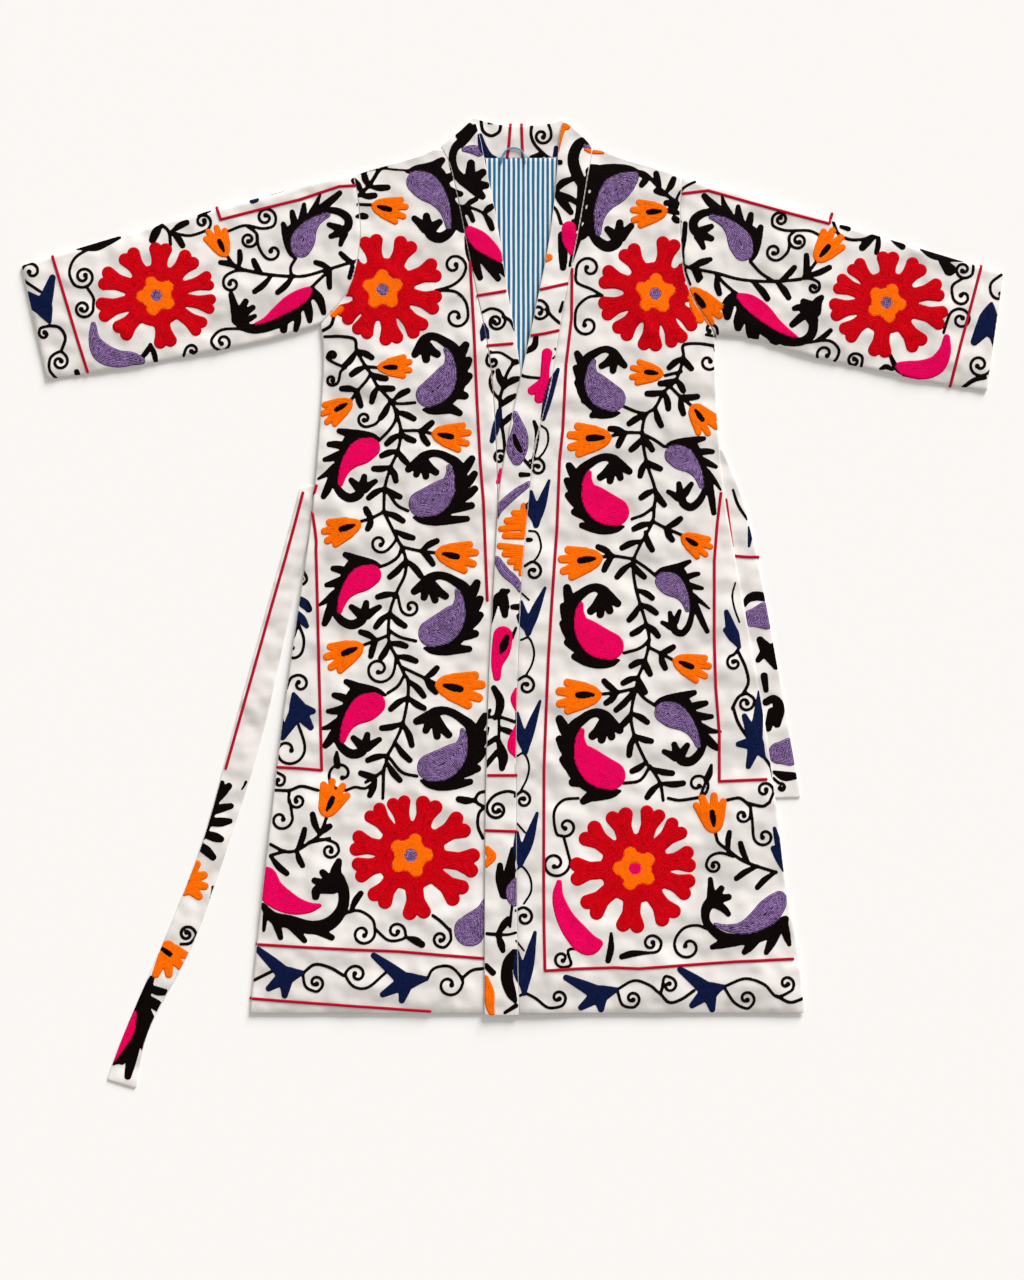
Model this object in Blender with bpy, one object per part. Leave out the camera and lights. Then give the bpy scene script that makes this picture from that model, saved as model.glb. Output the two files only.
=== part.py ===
"""A long embroidered coat laid flat on its back, with its tie belt, in metres, +Z up.

The coat lies in the XY plane with its collar towards +Y. Right and left are the wearer's, so the
right front is on the -X side. Its back lies on the surface, the lining and the two fronts lie on the
back, and the left front laps over the right one. Tables are in millimetres, measured from the middle
of the coat's outline, and every piece is a wall of cloth worked out from them.
"""

import math
from typing import NamedTuple

import bmesh
import bpy

MM = 0.001

# Driving dimensions, in millimetres
WALL = 1.5
BAND_WALL = 2.0
LINING_WALL = 1.0
BELT_WALL = 1.6
SEAM_GAP = 0.3
HEM_Y = -553.0
BACK_HEM_Y = -551.0
BAND_HEM_Y = -556.0
ARMPIT_RIGHT_Y = 377.0
ARMPIT_LEFT_Y = 362.0
SHOULDER_RIGHT_Y = 577.0
SHOULDER_LEFT_Y = 573.0
FRONT_TOP_Y = 612.0
BAND_TOP_Y = 648.0
NECK_SEAM_Y = 600.0
V_POINT_Y = 309.0
SILHOUETTE_EASE = 45.0
INNER_RISE = 1.6
LAP_EASE = 50.0
LAP_REACH = 36.0
TUCK_REACH = 36.0
TUCK_EASE = 50.0
LOOP_RADIUS = 1.4
SKIRT_STEPS = 26
ARMHOLE_STEPS = 10
SHOULDER_STEPS = 4
COLLAR_STEPS = 4
BACK_COLUMNS = 18
FRONT_COLUMNS = 13
BAND_COLUMNS = 3
SLEEVE_RINGS = 17


class Level(NamedTuple):
    """Where one line of the cut stands at one height of the laid coat."""

    y: float
    x: float


class Place(NamedTuple):
    """A point of an outline."""

    x: float
    y: float


class Station(NamedTuple):
    """One cross line of a sleeve or a belt, from one edge to the other."""

    first_x: float
    first_y: float
    second_x: float
    second_y: float


class Fold(NamedTuple):
    """A soft ridge of the upper layer, from one end to the other."""

    x0: float
    y0: float
    x1: float
    y1: float
    half_width: float
    height: float


# Lines of the cut, from the hem up
RIGHT_SIDE = (
    Level(-553, -354),
    Level(-462, -345),
    Level(-286, -325),
    Level(-143, -308),
    Level(58, -279),
    Level(119, -270),
    Level(239, -260),
    Level(355, -254),
    Level(377, -259),
)
RIGHT_ARMHOLE = (
    Level(377, -259),
    Level(414, -225),
    Level(459, -210),
    Level(500, -205),
    Level(533, -207),
    Level(577, -214),
)
LEFT_SIDE = (
    Level(-553, 394),
    Level(-483, 387),
    Level(-385, 369),
    Level(-269, 355),
    Level(-161, 340),
    Level(24, 307),
    Level(166, 283),
    Level(261, 275),
    Level(340, 272),
    Level(362, 275),
)
LEFT_ARMHOLE = (
    Level(362, 275),
    Level(379, 264),
    Level(414, 241),
    Level(459, 229),
    Level(525, 226),
    Level(573, 229),
)
RIGHT_SHOULDER = (
    Level(577, -214),
    Level(590, -172),
    Level(600, -128),
    Level(617, -97),
    Level(637, -71),
    Level(655, -52),
)
LEFT_SHOULDER = (
    Level(573, 229),
    Level(586, 194),
    Level(599, 145),
    Level(617, 109),
    Level(640, 83),
    Level(652, 68),
)
RIGHT_BAND_SEAM = (
    Level(-556, -20),
    Level(139, -20),
    Level(274, -25),
    Level(348, -33),
    Level(414, -47),
    Level(483, -61),
    Level(558, -76),
    Level(591, -84),
    Level(617, -97),
)
RIGHT_BAND_EDGE = (
    Level(-556, 18),
    Level(139, 18),
    Level(309, 11),
    Level(417, -6),
    Level(520, -22),
    Level(599, -38),
    Level(629, -44),
    Level(655, -52),
)
LEFT_BAND_SEAM = (
    Level(-556, 9),
    Level(-410, 6),
    Level(-212, 5),
    Level(12, 11),
    Level(119, 20),
    Level(211, 30),
    Level(290, 51),
    Level(378, 65),
    Level(451, 79),
    Level(531, 94),
    Level(586, 103),
    Level(617, 109),
)
LEFT_BAND_EDGE = (
    Level(-556, -38),
    Level(-325, -37),
    Level(-131, -33),
    Level(34, -25),
    Level(150, -18),
    Level(217, -7),
    Level(309, 12),
    Level(401, 32),
    Level(500, 51),
    Level(574, 59),
    Level(625, 63),
    Level(652, 68),
)

# Sleeve edges from armhole to cuff, upper edge first
RIGHT_SLEEVE = (
    Station(-214, 577, -259, 377),
    Station(-269, 565, -308, 361),
    Station(-340, 546, -361, 349),
    Station(-454, 516, -465, 329),
    Station(-534, 493, -542, 315),
    Station(-662.3, 454, -628, 303),
)
LEFT_SLEEVE = (
    Station(229, 573, 275, 362),
    Station(299, 555, 325, 358),
    Station(365, 536, 385, 338),
    Station(484, 497, 490, 315),
    Station(550, 477, 556, 301),
    Station(662.3, 443, 640, 287),
)

# Belt stretches, from the end that is tucked under the coat
RIGHT_BELT = (
    Station(-286, 157, -256, 160),
    Station(-304, 89, -276, 84),
    Station(-329, 0, -298, -5),
    Station(-371, -151, -338, -180),
    Station(-416, -315, -385, -330),
    Station(-453, -414, -427, -450),
    Station(-534, -605, -500, -605),
    Station(-547, -643, -508, -655),
)
LEFT_BELT = (
    Station(283, 207, 247, 214),
    Station(308, 147, 270, 150),
    Station(329, 65, 293, 72),
    Station(350, -43, 312, -35),
    Station(372, -167, 335, -158),
    Station(389, -262, 350, -263),
)

# The stand at the back of the neck: its top edge between the two ends of the bands
STAND_TOP = (
    Place(-95, 618),
    Place(-71, 637),
    Place(-52, 655),
    Place(-44, 652),
    Place(-17, 645),
    Place(8, 643.5),
    Place(35, 645),
    Place(60, 649),
    Place(68, 652),
    Place(83, 640),
    Place(106, 619),
)
HANGER_LOOP = (
    Place(-15, 592),
    Place(-14, 601),
    Place(-9, 610),
    Place(1, 614),
    Place(11, 611),
    Place(16, 602),
    Place(17, 592),
)

# The largest soft folds of the upper layer: ends, half width, height
FOLDS = (
    Fold(-300, -550, -268, -300, 34, 2.4),
    Fold(-215, -550, -205, -395, 26, 1.8),
    Fold(-120, -552, -118, -360, 30, 2.0),
    Fold(318, -550, 282, -250, 34, 2.6),
    Fold(205, -552, 190, -370, 30, 2.0),
    Fold(105, -552, 110, -400, 26, 1.6),
    Fold(296, 60, 322, -190, 18, 2.6),
    Fold(-262, 330, -170, 430, 26, 2.4),
    Fold(-238, 300, -160, 330, 22, 1.8),
    Fold(255, 320, 160, 425, 26, 2.4),
    Fold(248, 290, 175, 315, 22, 1.8),
    Fold(-290, 395, -215, 470, 24, 2.2),
    Fold(300, 385, 235, 470, 24, 2.2),
    Fold(-470, 350, -400, 470, 22, 1.8),
    Fold(455, 340, 410, 455, 22, 1.8),
    Fold(-590, 330, -560, 440, 20, 1.6),
    Fold(600, 310, 575, 420, 20, 1.6),
    Fold(-240, 130, -150, 60, 24, 1.6),
    Fold(262, 150, 180, 40, 26, 1.8),
    Fold(-150, -150, -95, -260, 22, 1.4),
    Fold(170, -120, 110, -230, 22, 1.4),
)

# Colours of the plain cloths and of the loop: red, green, blue
COTTON = (0.86, 0.83, 0.80)
LINING_BLUE = (0.42, 0.62, 0.76)
LOOP_TEAL = (0.35, 0.62, 0.70)


def smooth(t):
    """Runs from 0 at t = 0 to 1 at t = 1 with level ends."""
    t = min(1.0, max(0.0, t))
    return t * t * (3.0 - 2.0 * t)


def curve_value(keys, values, at):
    """Value at one key on a smooth curve through the table, without overshoot."""
    count = len(keys)
    if at <= keys[0]:
        return values[0]
    if at >= keys[-1]:
        return values[-1]
    steps = [(values[i + 1] - values[i]) / (keys[i + 1] - keys[i]) for i in range(count - 1)]
    slopes = [steps[0]]
    for before, after in zip(steps, steps[1:]):
        slopes.append(0.0 if before * after <= 0 else 2.0 * before * after / (before + after))
    slopes.append(steps[-1])
    i = max(k for k in range(count - 1) if keys[k] <= at)
    width = keys[i + 1] - keys[i]
    t = (at - keys[i]) / width
    start = (1 + 2 * t) * (1 - t) ** 2 * values[i] + t * (1 - t) ** 2 * width * slopes[i]
    end = t * t * (3 - 2 * t) * values[i + 1] - t * t * (1 - t) * width * slopes[i + 1]
    return start + end


def line_x(table, y):
    """X of a line of the cut at height y."""
    return curve_value([row.y for row in table], [row.x for row in table], y)


def station_at(table, t):
    """The cross line at t, from 0 at the first row to 1 at the last, on smooth edges."""
    lengths = [0.0]
    for a, b in zip(table, table[1:]):
        first = math.hypot(b.first_x - a.first_x, b.first_y - a.first_y)
        second = math.hypot(b.second_x - a.second_x, b.second_y - a.second_y)
        lengths.append(lengths[-1] + (first + second) / 2)
    keys = [length / lengths[-1] for length in lengths]
    return Station(*(curve_value(keys, [row[c] for row in table], t) for c in range(4)))


def segment_distance(x, y, ax, ay, bx, by):
    """Distance from a point to a straight segment, and how far along it the nearest point is."""
    dx, dy = bx - ax, by - ay
    t = ((x - ax) * dx + (y - ay) * dy) / (dx * dx + dy * dy)
    t = min(1.0, max(0.0, t))
    return math.hypot(x - ax - t * dx, y - ay - t * dy), t


def silhouette():
    """The outline of the coat without its belt, as a closed list of places."""
    places = [Place(row.x, row.y) for row in RIGHT_SIDE]
    places += [Place(row.second_x, row.second_y) for row in RIGHT_SLEEVE[1:]]
    places += [Place(row.first_x, row.first_y) for row in reversed(RIGHT_SLEEVE)]
    places += [Place(row.x, row.y) for row in RIGHT_SHOULDER[1:]]
    places += STAND_TOP[3:8]
    places += [Place(row.x, row.y) for row in reversed(LEFT_SHOULDER)]
    places += [Place(row.first_x, row.first_y) for row in LEFT_SLEEVE[1:]]
    places += [Place(row.second_x, row.second_y) for row in reversed(LEFT_SLEEVE)]
    places += [Place(row.x, row.y) for row in reversed(LEFT_SIDE[:-1])]
    return places


OUTLINE = silhouette()


def edge_distance(x, y):
    """Distance from a point to the coat's outline."""
    ends = OUTLINE[1:] + OUTLINE[:1]
    return min(segment_distance(x, y, a.x, a.y, b.x, b.y)[0] for a, b in zip(OUTLINE, ends))


def belt_distance(x, y):
    """Distance from a point to the nearer tucked belt, 0 on it."""
    best = math.inf
    for table in (RIGHT_BELT, LEFT_BELT):
        for a, b in zip(table, table[1:]):
            mid_a = ((a.first_x + a.second_x) / 2, (a.first_y + a.second_y) / 2)
            mid_b = ((b.first_x + b.second_x) / 2, (b.first_y + b.second_y) / 2)
            half = math.hypot(a.first_x - a.second_x, a.first_y - a.second_y) / 2
            best = min(best, segment_distance(x, y, *mid_a, *mid_b)[0] - half)
    return max(0.0, best)


def tuck_lift(x, y):
    """How far a tucked belt lifts the layers over it."""
    away = smooth((belt_distance(x, y) - TUCK_REACH) / TUCK_EASE)
    return (BELT_WALL + SEAM_GAP) * (1.0 - away)


def fold_height(x, y):
    """Height that the soft folds add to the upper layer."""
    total = 0.0
    for fold in FOLDS:
        away, along = segment_distance(x, y, fold.x0, fold.y0, fold.x1, fold.y1)
        if away < fold.half_width * 1.5:
            across = math.cos(min(1.0, away / (fold.half_width * 1.5)) * math.pi / 2) ** 2
            total += fold.height * across * (0.55 + 0.45 * math.sin(math.pi * (0.15 + 0.7 * along)))
    return total


def lower_bottom(x, y):
    """Height of the underside of the back: on the surface but where a belt is tucked under."""
    return tuck_lift(x, y)


def lower_top(x, y):
    """Height of the upper face of the back."""
    return lower_bottom(x, y) + WALL


def upper_bottom(x, y):
    """Height of the underside of the upper layer: close to the back at the outline, a little off it inside."""
    distance = edge_distance(x, y)
    rise = INNER_RISE * smooth(distance / SILHOUETTE_EASE)
    inner = smooth((distance - 4.0) / 20.0)
    return lower_top(x, y) + SEAM_GAP + rise + fold_height(x, y) * inner


def upper_top(x, y):
    """Height of the upper face of a front."""
    return upper_bottom(x, y) + WALL


def band_top(x, y):
    """Height of the upper face of the right band."""
    return upper_bottom(x, y) + BAND_WALL


def lap_bottom(x, y):
    """Height of the underside of the left front and its band, which lap over the right ones."""
    right_edge = line_x(RIGHT_BAND_EDGE, y)
    off_lap = smooth((x - right_edge - LAP_REACH) / LAP_EASE)
    return upper_bottom(x, y) + (BAND_WALL + SEAM_GAP) * (1.0 - off_lap)


def lap_top(x, y):
    """Height of the upper face of the left front."""
    return lap_bottom(x, y) + WALL


def lap_band_top(x, y):
    """Height of the upper face of the left band."""
    return lap_bottom(x, y) + BAND_WALL


def body_levels(hem, armpit, shoulder, top):
    """Heights of the cross lines of a body piece, closer together at the armhole."""
    levels = [hem + (armpit - hem) * i / SKIRT_STEPS for i in range(SKIRT_STEPS)]
    levels += [armpit + (shoulder - armpit) * i / ARMHOLE_STEPS for i in range(ARMHOLE_STEPS)]
    levels += [shoulder + (top - shoulder) * i / SHOULDER_STEPS for i in range(SHOULDER_STEPS + 1)]
    return levels


def right_outer(y):
    """X of the right front's outer edge: side seam, armhole, then shoulder."""
    if y < ARMPIT_RIGHT_Y:
        return line_x(RIGHT_SIDE, y)
    if y < SHOULDER_RIGHT_Y:
        return line_x(RIGHT_ARMHOLE, y) + SEAM_GAP / 2
    return line_x(RIGHT_SHOULDER, y)


def left_outer(y):
    """X of the left front's outer edge: side seam, armhole, then shoulder."""
    if y < ARMPIT_LEFT_Y:
        return line_x(LEFT_SIDE, y)
    if y < SHOULDER_LEFT_Y:
        return line_x(LEFT_ARMHOLE, y) - SEAM_GAP / 2
    return line_x(LEFT_SHOULDER, y)


def neck_dip(x):
    """Share of the dip of the back neck seam at x, 0 at the shoulders and 1 behind the neck."""
    middle = (line_x(RIGHT_BAND_SEAM, FRONT_TOP_Y) + line_x(LEFT_BAND_SEAM, FRONT_TOP_Y)) / 2
    return 1.0 - smooth((abs(x - middle) - 42.0) / 50.0)


def eased(count, near_start, near_end):
    """Fractions from 0 to 1, drawn together at the ends that are asked for."""
    fractions = []
    for i in range(count + 1):
        t = i / count
        if near_start and near_end:
            t = 0.5 - 0.5 * math.cos(math.pi * t)
        elif near_start:
            t = 1.0 - math.cos(math.pi * t / 2)
        elif near_end:
            t = math.sin(math.pi * t / 2)
        fractions.append(0.6 * t + 0.4 * i / count)
    return fractions


def make_material(name, colour, roughness):
    """A plain cloth material of one colour."""
    material = bpy.data.materials.new(name)
    material.use_nodes = True
    shader = material.node_tree.nodes["Principled BSDF"]
    shader.inputs["Base Color"].default_value = (*colour, 1.0)
    shader.inputs["Roughness"].default_value = roughness
    shader.inputs["Metallic"].default_value = 0.0
    return material


def finish(name, bm, colour, roughness=0.85):
    """Turns a closed mesh into a named object with its own material."""
    bmesh.ops.recalc_face_normals(bm, faces=bm.faces)
    mesh = bpy.data.meshes.new(name)
    bm.to_mesh(mesh)
    bm.free()
    mesh.shade_smooth()
    mesh.set_sharp_from_angle(angle=math.radians(40))
    mesh.materials.append(make_material(f"{name}_cloth", colour, roughness))
    piece = bpy.data.objects.new(name, mesh)
    bpy.context.scene.collection.objects.link(piece)
    return piece


def wall(name, rows, bottom, top, colour):
    """A wall of cloth between two height functions, over rows of plan points."""
    bm = bmesh.new()
    lower = [[bm.verts.new((x * MM, y * MM, bottom(x, y) * MM)) for x, y in row] for row in rows]
    upper = [[bm.verts.new((x * MM, y * MM, top(x, y) * MM)) for x, y in row] for row in rows]
    last_row, last_column = len(rows) - 1, len(rows[0]) - 1
    for i in range(last_row):
        for j in range(last_column):
            bm.faces.new((upper[i][j], upper[i][j + 1], upper[i + 1][j + 1], upper[i + 1][j]))
            bm.faces.new((lower[i][j], lower[i + 1][j], lower[i + 1][j + 1], lower[i][j + 1]))
    for i in range(last_row):
        for j in (0, last_column):
            bm.faces.new((lower[i][j], lower[i + 1][j], upper[i + 1][j], upper[i][j]))
    for j in range(last_column):
        for i in (0, last_row):
            bm.faces.new((lower[i][j], lower[i][j + 1], upper[i][j + 1], upper[i][j]))
    return finish(name, bm, colour)


def rows_between(levels, first_x, second_x, fractions):
    """Level rows of plan points from one edge line to the other."""
    rows = []
    for y in levels:
        a, b = first_x(y), second_x(y)
        rows.append([(a + (b - a) * f, y) for f in fractions])
    return rows


def back_row(right_y, left_y):
    """Plan points of the back across one height, with the dip of the neck seam near the top."""
    a, b = right_outer(right_y), left_outer(left_y)
    row = []
    for f in eased(BACK_COLUMNS, near_start=True, near_end=True):
        x, y = a + (b - a) * f, right_y + (left_y - right_y) * f
        squeeze = max(0.0, (y - SHOULDER_LEFT_Y) / (FRONT_TOP_Y - SHOULDER_LEFT_Y))
        row.append((x, y - (FRONT_TOP_Y - NECK_SEAM_Y) * squeeze * neck_dip(x)))
    return row


def build_back():
    """The back: one panel from hem to neck, on the surface."""
    right_levels = body_levels(BACK_HEM_Y, ARMPIT_RIGHT_Y, SHOULDER_RIGHT_Y, FRONT_TOP_Y)
    left_levels = body_levels(BACK_HEM_Y, ARMPIT_LEFT_Y, SHOULDER_LEFT_Y, FRONT_TOP_Y)
    rows = [back_row(right_y, left_y) for right_y, left_y in zip(right_levels, left_levels)]
    return wall("back", rows, lower_bottom, lower_top, COTTON)


def build_fronts():
    """The two fronts, from the side seam to the seam of the band."""
    right_rows = rows_between(
        body_levels(HEM_Y, ARMPIT_RIGHT_Y, SHOULDER_RIGHT_Y, FRONT_TOP_Y),
        right_outer,
        lambda y: line_x(RIGHT_BAND_SEAM, y) - SEAM_GAP / 2,
        eased(FRONT_COLUMNS, near_start=True, near_end=False),
    )
    wall("front_right", right_rows, upper_bottom, upper_top, COTTON)
    left_rows = rows_between(
        body_levels(HEM_Y, ARMPIT_LEFT_Y, SHOULDER_LEFT_Y, FRONT_TOP_Y),
        lambda y: line_x(LEFT_BAND_SEAM, y) + SEAM_GAP / 2,
        left_outer,
        eased(FRONT_COLUMNS, near_start=False, near_end=True),
    )
    wall("front_left", left_rows, lap_bottom, lap_top, COTTON)


def band_levels(levels):
    """Cross lines of a band: those of its front, and more up to the end of the band."""
    more = [FRONT_TOP_Y + (BAND_TOP_Y - FRONT_TOP_Y) * i / COLLAR_STEPS for i in range(1, COLLAR_STEPS + 1)]
    return levels + more


def build_bands():
    """The two bands, from the hem over the shoulder to the peak beside the neck."""
    levels = body_levels(BAND_HEM_Y, ARMPIT_RIGHT_Y, SHOULDER_RIGHT_Y, FRONT_TOP_Y)
    rows = rows_between(
        band_levels(levels),
        lambda y: max(line_x(RIGHT_BAND_SEAM, y), line_x(RIGHT_SHOULDER, y)) + SEAM_GAP / 2,
        lambda y: line_x(RIGHT_BAND_EDGE, y),
        eased(BAND_COLUMNS, near_start=False, near_end=False),
    )
    wall("band_right", rows, upper_bottom, band_top, COTTON)
    levels = body_levels(BAND_HEM_Y, ARMPIT_LEFT_Y, SHOULDER_LEFT_Y, FRONT_TOP_Y)
    rows = rows_between(
        band_levels(levels),
        lambda y: line_x(LEFT_BAND_EDGE, y),
        lambda y: min(line_x(LEFT_BAND_SEAM, y), line_x(LEFT_SHOULDER, y)) - SEAM_GAP / 2,
        eased(BAND_COLUMNS, near_start=False, near_end=False),
    )
    wall("band_left", rows, lap_bottom, lap_band_top, COTTON)


def build_lining():
    """The lining of the back, where the open neck shows it."""
    reach, steps, low = 22.0, 16, V_POINT_Y - 30.0
    levels = [low + (NECK_SEAM_Y - low) * i / steps for i in range(steps + 1)]

    def margin(y):
        return reach * (1.0 - 0.85 * smooth((y - 520.0) / 60.0))

    rows = rows_between(
        levels,
        lambda y: line_x(RIGHT_BAND_EDGE, y) - margin(y),
        lambda y: line_x(LEFT_BAND_EDGE, y) + margin(y),
        eased(6, near_start=False, near_end=False),
    )

    def bottom(x, y):
        return lower_top(x, y) + SEAM_GAP

    wall("lining_back", rows, bottom, lambda x, y: bottom(x, y) + LINING_WALL, LINING_BLUE)


def along_row(points, x):
    """Y at x on the straight stretches between points that run towards +X."""
    i = max(k for k in range(len(points) - 1) if points[k][0] <= x)
    part = (x - points[i][0]) / (points[i + 1][0] - points[i][0])
    return points[i][1] + (points[i + 1][1] - points[i][1]) * part


def build_collar():
    """The stand at the back of the neck, whose inner face shows between the bands."""
    seam = back_row(FRONT_TOP_Y, FRONT_TOP_Y)
    first, last = STAND_TOP[0].x, STAND_TOP[-1].x - 1.0
    corners = {first, last, STAND_TOP[2].x, STAND_TOP[-3].x}
    rows = []
    for x in sorted(corners | {x for x, y in seam if first < x < last}):
        low, high = along_row(seam, x) + SEAM_GAP, along_row(STAND_TOP, x)
        rows.append([(x, low + (high - low) * k / COLLAR_STEPS) for k in range(COLLAR_STEPS + 1)])

    def crown(x, y):
        return WALL + 1.0 * (1.0 - smooth((abs(x - 8.0) - 18.0) / 24.0))

    wall("collar_back", rows, lambda x, y: 0.0, crown, COTTON)


def build_sleeve(name, table, armhole_x, levels, side, upper):
    """A sleeve: a flat tube open at the armhole and the cuff, with its folds along its two long edges."""
    bm = bmesh.new()
    outer, inner = [], []
    count = ARMHOLE_STEPS
    for j in range(SLEEVE_RINGS + 1):
        t = j / SLEEVE_RINGS
        edge = station_at(table, t)
        points = []
        for k in range(count + 1):
            f = k / count
            x = edge.second_x + (edge.first_x - edge.second_x) * f
            y = edge.second_y + (edge.first_y - edge.second_y) * f
            straight = table[0].second_x + (table[0].first_x - table[0].second_x) * f
            bow = armhole_x(levels[k]) - straight
            points.append((x + bow * (1.0 - t) ** 3 + side * SEAM_GAP / 2 * (1.0 - t), y))
        long_x, long_y = points[-1][0] - points[0][0], points[-1][1] - points[0][1]
        length = math.hypot(long_x, long_y)
        out = (long_x / length, long_y / length)
        rings = []
        for shrink in (0.0, WALL):
            ring = [(x, y, lower_bottom(x, y) + shrink) for x, y in points]
            x, y = points[-1]
            mid = (lower_bottom(x, y) + upper(x, y) + WALL) / 2
            reach = WALL + SEAM_GAP / 2 - shrink
            ring.append((x + out[0] * reach, y + out[1] * reach, mid))
            ring += [(x, y, upper(x, y) + WALL - shrink) for x, y in reversed(points)]
            x, y = points[0]
            mid = (lower_bottom(x, y) + upper(x, y) + WALL) / 2
            ring.append((x - out[0] * reach, y - out[1] * reach, mid))
            rings.append([bm.verts.new([value * MM for value in point]) for point in ring])
        outer.append(rings[0])
        inner.append(rings[1])
    around = len(outer[0])
    for shell in (outer, inner):
        for j in range(SLEEVE_RINGS):
            for k in range(around):
                n = (k + 1) % around
                bm.faces.new((shell[j][k], shell[j][n], shell[j + 1][n], shell[j + 1][k]))
    for j in (0, SLEEVE_RINGS):
        for k in range(around):
            n = (k + 1) % around
            bm.faces.new((outer[j][k], outer[j][n], inner[j][n], inner[j][k]))
    return finish(name, bm, COTTON)


def build_sleeves():
    """Both sleeves."""
    right = body_levels(HEM_Y, ARMPIT_RIGHT_Y, SHOULDER_RIGHT_Y, FRONT_TOP_Y)
    left = body_levels(HEM_Y, ARMPIT_LEFT_Y, SHOULDER_LEFT_Y, FRONT_TOP_Y)
    first, last = SKIRT_STEPS, SKIRT_STEPS + ARMHOLE_STEPS + 1
    build_sleeve(
        "sleeve_right", RIGHT_SLEEVE, lambda y: line_x(RIGHT_ARMHOLE, y), right[first:last], -1, upper_bottom
    )
    build_sleeve(
        "sleeve_left", LEFT_SLEEVE, lambda y: line_x(LEFT_ARMHOLE, y), left[first:last], 1, upper_bottom
    )


def build_belt(name, table, steps):
    """One stretch of the belt, flat on the surface."""
    rows = []
    for i in range(steps + 1):
        edge = station_at(table, i / steps)
        row = []
        for f in (0.0, 0.5, 1.0):
            x = edge.first_x + (edge.second_x - edge.first_x) * f
            row.append((x, edge.first_y + (edge.second_y - edge.first_y) * f))
        rows.append(row)
    return wall(name, rows, lambda x, y: 0.0, lambda x, y: BELT_WALL, COTTON)


def build_loop():
    """The thin hanger loop, lying on the lining and the stand."""
    height = WALL + SEAM_GAP + LINING_WALL + SEAM_GAP + LOOP_RADIUS
    curve = bpy.data.curves.new("hanger_loop", "CURVE")
    curve.dimensions = "3D"
    curve.bevel_depth = LOOP_RADIUS * MM
    curve.bevel_resolution = 1
    curve.use_fill_caps = True
    spline = curve.splines.new("POLY")
    keys = list(range(len(HANGER_LOOP)))
    steps = 18
    spline.points.add(steps)
    for i in range(steps + 1):
        at = i / steps * keys[-1]
        x = curve_value(keys, [place.x for place in HANGER_LOOP], at)
        y = curve_value(keys, [place.y for place in HANGER_LOOP], at)
        spline.points[i].co = (x * MM, y * MM, height * MM, 1.0)
    curve.materials.append(make_material("hanger_loop_cloth", LOOP_TEAL, 0.7))
    loop = bpy.data.objects.new("hanger_loop", curve)
    bpy.context.scene.collection.objects.link(loop)
    return loop


def main():
    """Clears the scene and builds every piece."""
    for old in list(bpy.data.objects):
        bpy.data.objects.remove(old, do_unlink=True)
    build_back()
    build_fronts()
    build_bands()
    build_lining()
    build_collar()
    build_sleeves()
    build_belt("belt_right", RIGHT_BELT, 30)
    build_belt("belt_left", LEFT_BELT, 20)
    build_loop()


main()
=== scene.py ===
"""The looks of a long embroidered coat that lies flat.

Every cloth piece is a thin shell made from the form of its own solid; all but the still ones get soft creases
of their own.
The thread work is raised on it: strokes of thread are drawn on a chart, joined where they meet, cut at
the seams and laid on the shell. Chain-stitched border lines follow paths on the cloth.
"""
import logging
import math
import random
from dataclasses import dataclass, field, replace
from enum import Enum

import bmesh
import bpy
import numpy as np
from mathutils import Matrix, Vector
from mathutils.bvhtree import BVHTree


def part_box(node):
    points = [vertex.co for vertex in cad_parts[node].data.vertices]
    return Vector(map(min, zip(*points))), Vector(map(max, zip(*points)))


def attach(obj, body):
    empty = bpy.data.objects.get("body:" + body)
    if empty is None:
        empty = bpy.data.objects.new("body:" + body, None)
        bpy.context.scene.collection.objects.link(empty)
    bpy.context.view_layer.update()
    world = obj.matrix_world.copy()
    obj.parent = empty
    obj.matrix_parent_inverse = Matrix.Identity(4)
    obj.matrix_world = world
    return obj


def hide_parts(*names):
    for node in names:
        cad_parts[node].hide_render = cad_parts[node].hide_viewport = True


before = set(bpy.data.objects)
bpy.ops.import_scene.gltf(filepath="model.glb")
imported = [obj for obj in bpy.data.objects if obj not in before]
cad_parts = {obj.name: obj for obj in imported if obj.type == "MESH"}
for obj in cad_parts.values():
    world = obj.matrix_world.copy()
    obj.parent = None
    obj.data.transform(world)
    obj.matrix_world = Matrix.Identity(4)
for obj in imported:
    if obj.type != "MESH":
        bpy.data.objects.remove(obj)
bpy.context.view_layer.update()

LOG = logging.getLogger("coat")

MM = 0.001
# The chart places each motif. One step of it is 1.35 mm, and its rows run from the collar down to the hem.
CHART_STEP = 1.35 * MM
CHART_CENTRE_COLUMN = 512.5
CHART_CENTRE_ROW = 603.0
PHOTO_WIDTH = 1024
PHOTO_HEIGHT = 1280
BODY = "root"
FAR = 99.0
RAY_TOP = 0.1
TINY = 1e-9
# Points closer than this many metres are one point.
WELD = 0.00002
# How softly strokes of one thread join, in chart steps.
CRISP_JOIN = 0.8
FEATHER_JOIN = 0.3
CURL_JOIN = 0.6
LILY_JOIN = 1.6
HEART_JOIN = 1.5
DISC_JOIN = 2.0

Point = tuple[float, float]
Knot = tuple[float, float, float]
Colour = tuple[float, float, float, float]


def plan(column: float, row: float) -> Point:
    """Gives the place on the ground, in metres, of a place on the chart.

    Args:
        column: The chart's column.
        row: The chart's row, counted downwards.

    Returns:
        X and Y in metres.
    """
    return (column - CHART_CENTRE_COLUMN) * CHART_STEP, (CHART_CENTRE_ROW - row) * CHART_STEP


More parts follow.
